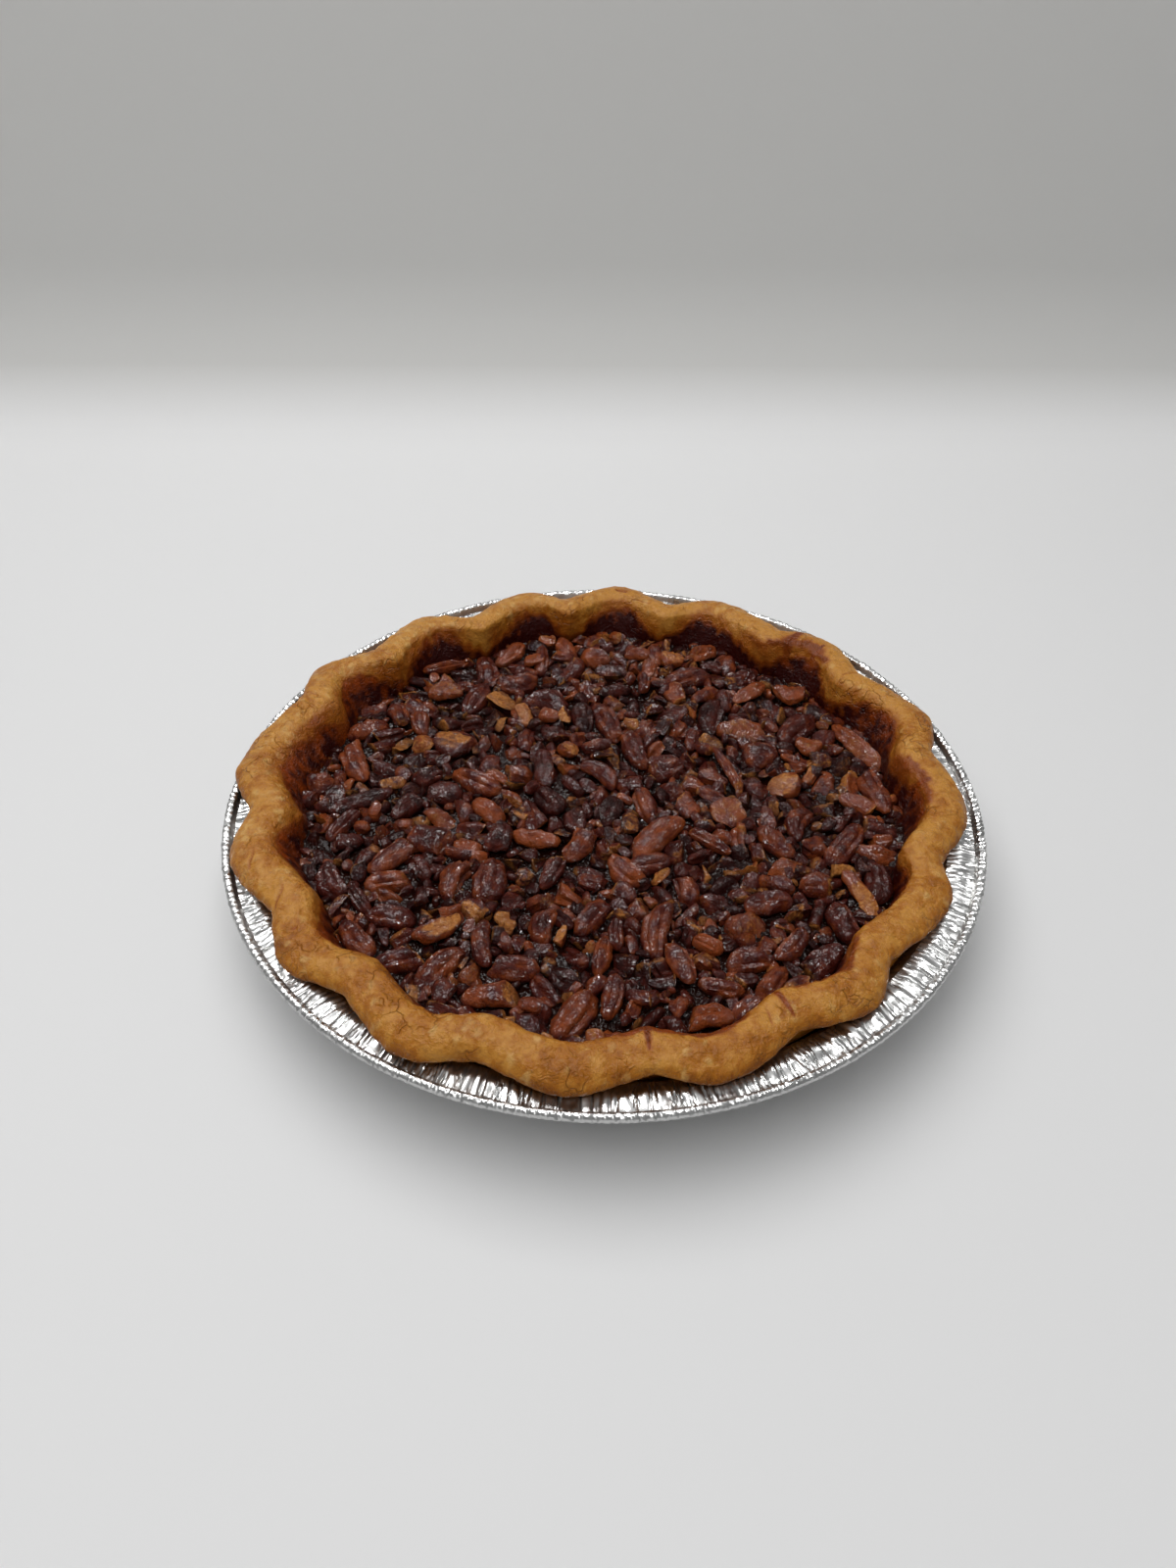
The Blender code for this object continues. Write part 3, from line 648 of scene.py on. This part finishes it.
def crust_section(bearings):
    """The crust's half section at each bearing, from underneath round the rim to the inner floor."""
    lobe, lobe_reach, valley_reach = flute(bearings)
    shift = lobe * (lobe_reach - MEAN_LOBE) + (1.0 - lobe) * (valley_reach - MEAN_VALLEY)
    swell = 0.7 * MM * np.sin(3.0 * bearings + 0.6) + 0.5 * MM * np.sin(7.0 * bearings + 2.1)

    def between(at_lobe, at_valley, follow=1.0, rise=1.0):
        radius = lobe * at_lobe[0] + (1.0 - lobe) * at_valley[0]
        height = lobe * at_lobe[1] + (1.0 - lobe) * at_valley[1]
        return radius * MM + follow * shift, height * MM + rise * swell

    def fixed(radius, height):
        return np.full_like(lobe, radius), np.full_like(lobe, height)

    knots = [
        fixed(BASE_RADIUS - 2.6 * MM, FOIL + GAP),
        fixed(wall_radius(3.0 * MM) - FOIL - WALL_CLEARANCE, 3.0 * MM),
        fixed(wall_radius(WALL_TOP - MM) - FOIL - WALL_CLEARANCE, WALL_TOP - MM),
        between((112.4, 30.8), (107.0, 31.6), 0.3, 0.0),
        between((117.4, 30.9), (109.6, 32.4), 1.0, 0.2),
        between((119.4, 33.6), (111.8, 35.2), 1.0, 0.5),
        between((117.0, 37.4), (109.6, 38.6)),
        between((111.6, 39.4), (104.6, 39.9)),
        between((107.0, 38.4), (100.2, 39.0)),
        between((104.6, 35.2), (98.2, 35.4), 0.7, 0.6),
        between((100.2, 26.4), (97.0, 26.4), 0.3, 0.0),
        fixed(BASE_RADIUS - 1.0 * MM, 12.0 * MM),
        fixed(BASE_RADIUS - 5.5 * MM, PASTRY_FLOOR),
    ]
    return np.stack([np.stack(knot, axis=-1) for knot in knots], axis=1), lobe


def polar(bearing, radius):
    """A point of the plan from a bearing in degrees and a radius in millimetres."""
    return direction(math.radians(bearing)) * radius * MM


def crease_depth(flat):
    """How far each point is pressed in by the small creases and holes of the rim."""
    depth = np.zeros(len(flat))
    for bearing, radius, heading, length, width, deep in CREASES:
        away = flat[:, :2] - polar(bearing, radius)
        angle = math.radians(bearing + heading)
        c, s = direction(angle)
        along = away @ np.array([c, s])
        across = away @ np.array([-s, c])
        across = across + 0.5 * MM * np.sin(along / (1.7 * MM))
        shape = np.exp(-(across / (0.5 * width * MM)) ** 2 - (along / (0.5 * length * MM)) ** 4)
        depth += deep * MM * shape
    return depth


def make_crust():
    """The pastry shell with its hand-fluted rim, blisters, creases and syrup stains."""
    rng = np.random.default_rng(23)
    bearings = np.arange(CRUST_COLUMNS) / CRUST_COLUMNS * TURN
    section, lobe = crust_section(bearings)
    profile, knot = spline_rows(section, CRUST_ROWS)
    grid = turned_grid(profile, bearings)
    flat = grid.reshape(-1, 3)
    knots = np.repeat(knot[None], CRUST_COLUMNS, axis=0).ravel()
    lobes = np.repeat(lobe, len(knot))
    at = np.arctan2(flat[:, 1], flat[:, 0])
    shown = smooth(knots, 3.2, 4.6) * (1.0 - smooth(knots, 10.0, 10.8))
    top = smooth(knots, 4.6, 5.4) * (1.0 - smooth(knots, 8.4, 9.2))

    relief = 0.45 * MM * noise(flat, 14.0, 1) + 0.36 * MM * noise(flat, 6.0, 2)
    relief += 0.24 * MM * noise(flat, 2.8, 3) + 0.10 * MM * noise(flat, 1.3, 4)
    blister = np.zeros(len(flat))
    wander = np.stack([noise(flat, 1.7, 17), noise(flat, 1.7, 18)], axis=1)
    plan = flat[:, :2] + 1.0 * MM * wander
    for _ in range(BLISTERS):
        angle = rng.uniform(0.0, TURN)
        if rng.random() < 0.5:
            angle = rng.uniform(*BLISTER_SIDE)
        radius = rng.uniform(*BLISTER_PLACES)
        spot = direction(angle) * radius * MM
        size = rng.uniform(*BLISTER_SIZES) * MM
        height = rng.uniform(*BLISTER_HEIGHTS)
        near = np.sum((plan - spot) ** 2, axis=1) / size ** 2
        blister = np.maximum(blister, height * np.exp(-near ** 1.5))
    blister *= top
    bearing, middle, radius, half_width, height = RING
    away = np.linalg.norm(flat[:, :2] - polar(bearing, middle), axis=1)
    relief += height * MM * np.exp(-((away - radius * MM) / (half_width * MM)) ** 2) * top
    pressed = crease_depth(flat) * smooth(knots, 4.2, 5.0) * (1.0 - smooth(knots, 9.0, 9.6))
    relief += 0.16 * MM * blister

    normals = grid_normals(grid).reshape(-1, 3)
    moved = flat + normals * (relief * shown - pressed)[:, None]

    inward = (knots - 7.3) + 0.35 * noise(flat, 9.0, 9) + 0.20 * noise(flat, 3.0, 10)
    inward += 0.16 * noise(flat * np.array([1.0, 1.0, 0.15]), 2.8, 11)
    start = 1.2 + 0.85 * (1.0 - lobes) + 0.25 * smooth(np.sin(at), 0.3, 0.95)
    glaze = smooth(inward, start - 0.35, start + 0.95)
    glaze = np.maximum(glaze, 0.35 * smooth(inward, 0.2, 1.3) * (0.6 + 0.6 * noise(flat, 12.0, 12)))
    radius = np.hypot(flat[:, 0], flat[:, 1]) / MM
    for bearing, inner, outer, half_width in DRIPS:
        angle = np.abs((at - math.radians(bearing) + math.pi) % TURN - math.pi)
        taper = half_width * (1.1 - 0.6 * smooth(radius, inner, outer))
        across = angle * radius / taper
        drip = np.exp(-across ** 2) * smooth(radius, inner - 3.0, inner)
        drip = drip * (1.0 - smooth(radius, outer - 2.0, outer))
        glaze = np.maximum(glaze, 0.62 * drip * smooth(knots, 5.0, 6.0))
    for first, last, across, much in STAINS:
        along = (np.degrees(at) - first) % 360.0 / (last - first)
        run = smooth(along, 0.0, 0.12) * (1.0 - smooth(along, 0.88, 1.0))
        run = run * np.exp(-((inward - across) / np.where(inward < across, 0.28, 1.1)) ** 2)
        glaze = np.maximum(glaze, much * run)
    # The creases are darkened with the stain colour, more the deeper they are.
    glaze = np.maximum(glaze, np.clip(pressed / MM, 0.0, 0.35) * smooth(knots, 4.8, 5.4))

    browning_and_painted_light = 0.28 + 0.19 * noise(flat, 17.0, 14) + 0.24 * noise(flat, 5.0, 15)
    browning_and_painted_light += 0.42 * (1.0 - smooth(knots, 4.6, 6.0)) + 0.10 * smooth(lobes, 0.7, 1.0)
    # Painted light: the rim is made paler towards the back, less so at the sides and not at the front.
    browning_and_painted_light -= 0.22 * smooth(np.sin(at), -0.2, 0.9)
    browning_and_painted_light += 0.30 * smooth(knots, 7.6, 9.0)
    # The stained inner wall: darker towards the bottom and at the back, lighter on the left, with vertical
    # streaks.
    low = smooth(knots, 8.6, 10.0)
    streak = 0.70 - 0.5 * low + 0.34 * noise(flat * np.array([1.0, 1.0, 0.12]), 2.5, 16)
    streak += 0.16 * smooth(-np.cos(at), 0.2, 0.9) - 0.18 * smooth(np.sin(at), 0.3, 0.95)
    marks = np.maximum(blister, np.clip(streak, 0.0, 1.0) * smooth(glaze, 0.35, 0.6))
    looks = np.stack([np.clip(browning_and_painted_light, 0.0, 1.0), np.clip(glaze, 0.0, 1.0), marks], axis=1)

    points, faces = closed_turn(moved.reshape(grid.shape))
    looks = np.concatenate([looks, looks[:1], looks[-1:]])
    piece = add_piece("crust_pastry", points, faces, pastry_material(), looks)
    belongs(piece, "crust")


def inner_reach(height):
    """A function from bearing to the crust's inner radius at a height."""
    bearings = np.arange(721) / 720.0 * TURN
    section, _ = crust_section(bearings)
    wall = section[:, :7:-1]
    reach = np.array([np.interp(height, each[:, 1], each[:, 0]) for each in wall])
    return lambda at: np.interp(at % TURN, bearings, reach)


def nut_template(rings, around):
    """A unit half nut along X: domed and twice grooved on top, flatter and grooved underneath."""
    lean = np.linspace(-0.5 * math.pi, 0.5 * math.pi, rings + 2)[1:-1]
    along = np.sin(lean)[:, None]
    turn = (np.arange(around) / around * TURN)[None, :]
    girth = np.sqrt(1.0 - np.abs(along) ** 2.6)
    groove = np.exp(-((turn - 1.02) / 0.17) ** 2) + np.exp(-((turn - 2.12) / 0.17) ** 2)
    radius = girth * (1.0 - 0.24 * groove * (1.0 - along ** 4))
    across = radius * np.cos(turn)
    up = radius * np.sin(turn)
    up = np.where(up < 0.0, 0.6 * up, up)
    up = up + 0.38 * girth * np.exp(-((turn - 1.5 * math.pi) / 0.4) ** 2)
    body = np.stack([along + 0.0 * turn, across, up], axis=-1).reshape(-1, 3)
    return np.concatenate([body, [[-1.0, 0.0, 0.0], [1.0, 0.0, 0.0]]])


def nut_faces(rings, around):
    """Faces of the template, quads between rings and triangles at the two tips."""
    count = rings * around
    here = np.arange(count).reshape(rings, around)
    beside = np.roll(here, -1, axis=1)
    faces = face_list(here[:-1], here[1:], beside[1:], beside[:-1])
    return faces + tip_faces((count, count + 1), here[0], beside[0], beside[-1], here[-1])


def unit(vector):
    """A vector of length 1."""
    return vector / np.linalg.norm(vector)


def cells_near(middle, half):
    """The slice of the map within half of a place, and how far each of its cells is from there."""
    low = max(int((middle - half) / CELL) + MAP_MIDDLE, 0)
    high = int((middle + half) / CELL) + MAP_MIDDLE + 1
    return slice(low, high), (np.arange(low, high) - MAP_MIDDLE) * CELL - middle


class Filling:
    """The map of what lies where, filled from the largest pecans to the smallest."""

    def __init__(self):
        self.rng = np.random.default_rng(47)
        self.cover = np.zeros((MAP_SIDE, MAP_SIDE))
        self.height = np.full((MAP_SIDE, MAP_SIDE), SYRUP_HEIGHT)
        self.reach = inner_reach(PECAN_TOP)

    def window(self, x, y, heading, length, width):
        """The part of the map under a piece, and how far each cell is from its middle, 1 at its edge."""
        column, across = cells_near(x, 0.5 * length + CELL)
        row, up = cells_near(y, 0.5 * length + CELL)
        across, up = np.meshgrid(across, up)
        along = across * math.cos(heading) + up * math.sin(heading)
        side = up * math.cos(heading) - across * math.sin(heading)
        return (row, column), np.sqrt((2.0 * along / length) ** 2 + (2.0 * side / width) ** 2)

    def pull_in(self, x, y, length, width):
        """Move a spot in from the crust."""
        radius, bearing = math.hypot(x, y), math.atan2(y, x)
        limit = float(self.reach(bearing)) - 0.42 * math.sqrt(length * width) - 0.5 * MM
        shrink = min(1.0, limit / max(radius, MM))
        return x * shrink, y * shrink

    def free_spot(self, length, width, tries):
        """Of some random spots, the one with the least under it."""
        best, best_score = None, math.inf
        for _ in range(tries):
            bearing, radius = self.rng.uniform(0.0, TURN), 104.0 * MM * math.sqrt(self.rng.random())
            heading = self.rng.uniform(0.0, math.pi)
            x, y = self.pull_in(radius * math.cos(bearing), radius * math.sin(bearing), length, width)
            place, away = self.window(x, y, heading, length, width)
            score = float(np.mean(self.cover[place][away < 1.0]))
            if score < best_score:
                best, best_score = (x, y, heading), score
        return best

    def under(self, spot, length, width):
        """The mean height of what lies under a spot."""
        place, away = self.window(*spot, length, width)
        return float(np.mean(self.height[place][away < 0.8]))

    def lay(self, spot, length, width, thickness, top, weight):
        """Put a piece on the map; smaller pieces keep off it more where its weight is greater."""
        place, away = self.window(*spot, length, width)
        inside = away < 1.0
        dome = top - thickness * 0.6 * (1.0 - np.sqrt(np.clip(1.0 - away ** 2, 0.0, 1.0)))
        here = self.height[place]
        here[inside] = np.maximum(here[inside], dome[inside])
        self.cover[place][inside] += weight


class Batch:
    """Pieces of one template, gathered and then made into one joined mesh."""

    def __init__(self, name, rings, around, weight, filling):
        self.name = name
        self.weight = weight
        self.filling = filling
        self.rng = filling.rng
        self.template = nut_template(rings, around)
        self.faces = nut_faces(rings, around)
        self.shapes, self.broken, self.turns, self.places, self.tones, self.sizes = [], [], [], [], [], []

    def add(self, spot, size, top, tone, cuts, roll, tilt, bend=0.0):
        """One piece: the template stretched to size, cut by planes, and laid with its top at a height."""
        length, width, thickness = size
        shape = self.template * np.array(size) * 0.5
        along = self.template[:, 0]
        shape[:, 1] *= 1.0 - self.rng.uniform(-0.18, 0.18) * along
        shape[:, 1] += bend * width * (along ** 2 - 0.4)
        shape[:, 2] += self.rng.uniform(-0.1, 0.12) * thickness * (along ** 2 - 0.4)
        broken = np.zeros(len(shape))
        for normal, distance in cuts:
            over = shape @ normal - distance
            hit = np.clip(over, 0.0, None)
            shape = shape - 0.86 * hit[:, None] * normal
            broken = np.maximum(broken, np.clip(over / (0.35 * MM), 0.0, 1.0))
        low, high = shape.min(axis=0), shape.max(axis=0)
        shape = shape - 0.5 * (low + high)
        scale = np.array(size) / np.maximum(high - low, 0.3 * MM)
        shape = shape * np.clip(scale, 0.8, 1.5)
        turn = Euler((roll, tilt, spot[2])).to_matrix()
        self.shapes.append(shape)
        self.broken.append(broken)
        self.turns.append(np.array(turn))
        self.places.append((spot[0], spot[1], top))
        self.tones.append((tone, self.rng.random()))
        self.sizes.append(size)
        self.filling.lay(spot, length, width, thickness, top, self.weight)

    def build(self, material):
        """The joined mesh."""
        shapes, broken = np.array(self.shapes), np.array(self.broken)
        count, size = shapes.shape[:2]
        own = self.rng.uniform(-0.5, 0.5, (count, 1, 3))
        where = (shapes + own).reshape(-1, 3)
        outward = shapes / (np.array(self.sizes)[:, None] ** 2)
        outward /= np.maximum(np.linalg.norm(outward, axis=2, keepdims=True), 1e-9)
        lump = 0.62 * MM * noise(where, 4.6, 31) + 0.34 * MM * noise(where, 2.3, 32)
        rough = 0.44 * MM * noise(where, 1.8, 33) + 0.20 * MM * noise(where, 1.1, 34)
        lump, rough = lump.reshape(count, size), rough.reshape(count, size)
        small = np.clip(np.array(self.sizes)[:, 1] / (8.0 * MM), 0.35, 1.0)[:, None]
        shapes = shapes + outward * ((lump + rough * (0.55 + 0.6 * broken)) * small)[..., None]
        turned = np.einsum("kij,knj->kni", np.array(self.turns), shapes)
        places = np.array(self.places)
        turned[..., 2] += (places[:, 2] - turned[..., 2].max(axis=1))[:, None]
        turned[..., :2] += places[:, None, :2]
        reach = self.filling.reach(np.arctan2(turned[..., 1], turned[..., 0])) - 0.2 * MM
        excess = np.clip(np.hypot(turned[..., 0], turned[..., 1]) - reach, 0.0, None).max(axis=1)
        inward = -places[:, :2] / np.maximum(np.linalg.norm(places[:, :2], axis=1, keepdims=True), MM)
        turned[..., :2] += (inward * excess[:, None])[:, None]
        tones = np.array(self.tones)
        side = 1.0 - smooth(turned[..., 2], places[:, None, 2] - 3.5 * MM, places[:, None, 2])
        tone = tones[:, :1] + 0.22 * side + 0.18 * noise(where, 5.0, 35).reshape(count, size)
        # Painted shade: the parts of each piece low down near the syrup are darkened, and their bare breaks
        # hidden.
        deep = 1.0 - smooth(turned[..., 2], SYRUP_HEIGHT - 1.5 * MM, SYRUP_HEIGHT + 3.0 * MM)
        tone = 1.35 * tone - 0.07 - 0.45 * deep
        broken = broken * (1.0 - 0.7 * deep)
        looks = np.stack([np.clip(tone, 0.0, 1.0), broken, np.repeat(tones[:, 1:], size, axis=1)], axis=-1)
        faces = []
        for start in range(0, count * size, size):
            faces.extend(tuple(index + start for index in face) for face in self.faces)
        piece = add_piece(self.name, turned.reshape(-1, 3), faces, material, looks.reshape(-1, 3), 50.0)
        belongs(piece, "filling")


def break_planes(rng, size, count):
    """Planes that break a nut: across it first, then along it, then at random."""
    length, width, thickness = size
    planes = []
    for index in range(count):
        if index == 0:
            normal = np.array([rng.choice((-1.0, 1.0)), rng.uniform(-0.6, 0.6), rng.uniform(-0.2, 0.7)])
            reach = 0.5 * length
        elif index == 1:
            normal = np.array([rng.uniform(-0.4, 0.4), rng.choice((-1.0, 1.0)), rng.uniform(-0.2, 0.9)])
            reach = 0.5 * width
        else:
            normal = rng.normal(size=3)
            reach = 0.5 * min(width, thickness)
        planes.append((unit(normal), reach * rng.uniform(0.25, 0.6)))
    return planes


def landmark_cuts(rng, bare, size):
    """Where the photo shows a bare break on a landmark: over its top, or at one end."""
    if bare >= 0.5:
        top = np.array([rng.uniform(-0.3, 0.3), rng.uniform(-0.5, 0.1), 1.0])
        return [(unit(top), 0.5 * size[2] * (1.0 - 0.75 * bare))]
    if bare >= 0.1:
        end = np.array([rng.choice((-1.0, 1.0)), rng.uniform(-0.5, 0.5), 0.6])
        return [(unit(end), 0.5 * size[0] * (0.75 - bare))]
    return []


def make_pecans(filling, material):
    """All the pecans that show: halves, broken pieces and crumbs."""
    rng = filling.rng
    halves = Batch("pecan_halves", 30, 26, 3.0, filling)
    for x, y, heading, length, width, tone, bare in LANDMARKS:
        length, width = length * MM, width * MM
        size = (length, width, min(max(width * rng.uniform(0.62, 0.78), THINNEST), THICKEST))
        spot = (*filling.pull_in(x * MM, y * MM, length, width), math.radians(heading))
        top = PECAN_TOP + rng.uniform(0.1, 1.8) * MM
        cuts = landmark_cuts(rng, bare, size)
        roll, tilt = rng.normal(0.0, 0.22), rng.normal(0.0, 0.09)
        halves.add(spot, size, top, tone, cuts, roll, tilt, rng.normal(0.0, 0.14))
    count, shortest, longest = EXTRA_LARGE
    for _ in range(count):
        length = rng.uniform(shortest, longest) * MM
        width = length * rng.uniform(0.45, 0.6)
        size = (length, width, width * rng.uniform(0.65, 0.85))
        spot = filling.free_spot(length, width, 60)
        top = PECAN_TOP + rng.uniform(-1.0, 0.8) * MM
        cuts = break_planes(rng, size, rng.integers(0, 2))
        halves.add(spot, size, top, rng.beta(2.2, 3.0), cuts,
                   rng.normal(0.0, 0.5), rng.normal(0.0, 0.15), rng.normal(0.0, 0.15))
    halves.build(material)

    chunks = Batch("pecan_chunks", 19, 18, 1.5, filling)
    count, shortest, longest = MID_PIECES
    for index in range(count):
        length = (longest + (shortest - longest) * (index / count) ** 0.8) * MM
        width = length * rng.uniform(0.5, 0.85)
        size = (length, width, width * rng.uniform(0.6, 0.95))
        spot = filling.free_spot(length, width, 45)
        over = filling.under(spot, length, width) - SYRUP_HEIGHT
        top = min(PECAN_TOP + rng.uniform(-2.2, 0.5) * MM + 0.5 * over, MID_TOP)
        cuts = break_planes(rng, size, rng.integers(1, 4))
        chunks.add(spot, size, top, rng.beta(1.9, 3.0), cuts,
                   rng.uniform(0.0, TURN), rng.normal(0.0, 0.3), rng.normal(0.0, 0.12))
    chunks.build(material)

    bits = Batch("pecan_bits", 10, 11, 1.0, filling)
    count, shortest, longest = SMALL_PIECES
    for index in range(count):
        length = (longest + (shortest - longest) * index / count) * MM
        width = length * rng.uniform(0.55, 0.9)
        size = (length, width, width * rng.uniform(0.6, 0.95))
        spot = filling.free_spot(length, width, 22)
        over = filling.under(spot, length, width)
        top = min(over + size[2] * rng.uniform(0.1, 0.5), SMALL_TOP)
        cuts = break_planes(rng, size, rng.integers(1, 3))
        bits.add(spot, size, top, rng.beta(1.8, 2.7), cuts,
                 rng.uniform(0.0, TURN), rng.normal(0.0, 0.4))
    bits.build(material)


def blurred(values, cells):
    """A map averaged over a square of cells, twice."""
    for _ in range(2):
        for axis in (0, 1):
            parts = [np.roll(values, step, axis=axis) for step in range(-cells, cells + 1)]
            values = sum(parts) / len(parts)
    return values


def make_syrup(filling, material):
    """The set filling: a wrinkled top that climbs round the nuts and the crust, on a plain deep body."""
    side = SYRUP_SIDE
    a, b = np.meshgrid(np.linspace(-1.0, 1.0, side), np.linspace(-1.0, 1.0, side), indexing="ij")
    wide = np.abs(a) > np.abs(b)
    safe_a, safe_b = np.where(a == 0.0, 1e-9, a), np.where(b == 0.0, 1e-9, b)
    share = np.where(wide, a, b)
    angle = np.where(wide, math.pi / 4 * b / safe_a, math.pi / 2 - math.pi / 4 * a / safe_b)
    angle = np.where(share < 0.0, angle + math.pi, angle)
    share = np.abs(share)
    reach = inner_reach(SYRUP_HEIGHT)(angle) + 0.35 * MM
    x, y = share * reach * np.cos(angle), share * reach * np.sin(angle)
    soft = blurred(filling.height, 3)
    column = np.clip(np.rint(x / CELL).astype(int) + MAP_MIDDLE, 0, MAP_SIDE - 1)
    row = np.clip(np.rint(y / CELL).astype(int) + MAP_MIDDLE, 0, MAP_SIDE - 1)
    climb = soft[row, column] - SYRUP_HEIGHT
    flat = np.stack([x.ravel(), y.ravel(), np.zeros(x.size)], axis=1)
    crinkle = 1.0 - np.abs(noise(flat, 2.6, 51))
    finer = 1.0 - np.abs(noise(flat, 1.3, 52))
    swell = noise(flat, 9.0, 53)
    to_wall = (reach - share * reach) / MM
    height = SYRUP_HEIGHT - 2.7 * MM + 0.45 * climb
    height += (0.75 * crinkle ** 3 + 0.35 * finer ** 3 + 0.45 * swell).reshape(x.shape) * MM
    height += (1.6 * np.exp(-to_wall / 1.6)) * MM
    top = np.stack([x, y, height], axis=-1).reshape(-1, 3)
    index = np.arange(side * side).reshape(side, side)
    faces = face_list(index[:-1, :-1], index[1:, :-1], index[1:, 1:], index[:-1, 1:])
    edge = np.concatenate([index[:-1, 0], index[-1, :-1], index[:0:-1, -1], index[0, :0:-1]])
    at = np.arctan2(top[edge, 1], top[edge, 0])
    points, above, start = [top], edge, len(top)
    for radius, level in ((BASE_RADIUS - 1.2 * MM, 12.0 * MM), (BASE_RADIUS - 6.0 * MM, PASTRY_FLOOR)):
        points.append(np.stack([radius * np.cos(at), radius * np.sin(at), np.full_like(at, level)], axis=1))
        below = start + np.arange(len(edge))
        faces += face_list(above, below, np.roll(below, -1), np.roll(above, -1))
        above, start = below, start + len(edge)
    points.append(np.array([[0.0, 0.0, PASTRY_FLOOR]]))
    faces += face_list(np.full_like(above, start), np.roll(above, -1), above)
    piece = add_piece("syrup", np.concatenate(points), faces, material)
    belongs(piece, "filling")


def make_stage():
    """A pale floor that sweeps up into a backdrop."""
    half, sweep, radius, steps = 1.6, 0.335, 0.07, 12
    profile = [(-half, 0.0), (-0.6, 0.0), (0.0, 0.0), (0.28, 0.0), (sweep, 0.0)]
    for step in range(1, steps + 1):
        angle = 0.5 * math.pi * step / steps
        profile.append((sweep + radius * math.sin(angle), radius - radius * math.cos(angle)))
    profile += [(0.405, 0.12), (0.405, 0.22)]
    points = [(x, y, z) for y, z in profile for x in (-half, half)]
    faces = [(low, low + 1, low + 3, low + 2) for low in range(0, len(points) - 2, 2)]
    nodes = Nodes("floor_look")
    place = nodes.add("ShaderNodeTexCoord").outputs["Object"]
    level = nodes.add("ShaderNodeSeparateXYZ", {"Vector": place}).outputs["Z"]
    # Painted shade: the backdrop is a darker grey than the floor, standing for the lesser light that reaches
    # it.
    wall = nodes.spread(level, 0.0, 0.019)
    nodes.set(Base_Color=nodes.mix(wall, (0.80, 0.80, 0.80), (0.63, 0.627, 0.612)), Roughness=0.75)
    nodes.set(Specular_IOR_Level=0.2)
    floor = add_piece("floor", np.array(points), faces, nodes.material)


def add_light(name, place, size, power):
    """A soft area light aimed at the pie's foot."""
    data = bpy.data.lights.new(name, "AREA")
    data.shape = "RECTANGLE"
    data.size, data.size_y = size
    data.energy = power
    lamp = add_object(name, data)
    lamp.location = place
    x, y, z = np.zeros(3) - place
    lamp.rotation_euler = (math.atan2(math.hypot(x, y), -z), 0.0, math.atan2(y, x) - 0.5 * math.pi)
    return lamp


def make_lights():
    """Plain soft studio light from above, a little to the left and behind."""
    soft = add_light("overhead", SOFT_PLACE, SOFT_SIZE, SOFT_POWER)
    soft.visible_glossy = False
    for place, size, power in PANELS:
        panel = add_light("panel", place, size, power)
        panel.visible_diffuse = False
    world = bpy.data.worlds.new("studio")
    world.use_nodes = True
    background = world.node_tree.nodes["Background"]
    background.inputs["Color"].default_value = (1.0, 1.0, 1.0, 1.0)
    background.inputs["Strength"].default_value = ROOM_LIGHT
    bpy.context.scene.world = world
    bpy.context.scene.view_settings.view_transform = "Standard"


def make_camera():
    """The photo's viewpoint: close, above and in front."""
    data = bpy.data.cameras.new("camera")
    data.sensor_fit = "AUTO"
    data.sensor_width = 36.0
    data.lens = CAMERA_LENS
    data.clip_start = 0.01
    camera = add_object("camera", data)
    camera.location = CAMERA_PLACE
    camera.rotation_euler = (0.5 * math.pi - CAMERA_DOWN, CAMERA_ROLL, 0.0)
    bpy.context.scene.camera = camera


def main():
    """Everything in the scene, in one fixed order."""
    make_camera()
    make_stage()
    make_lights()
    make_tin()
    make_crust()
    filling = Filling()
    make_pecans(filling, pecan_material())
    make_syrup(filling, syrup_material())


main()
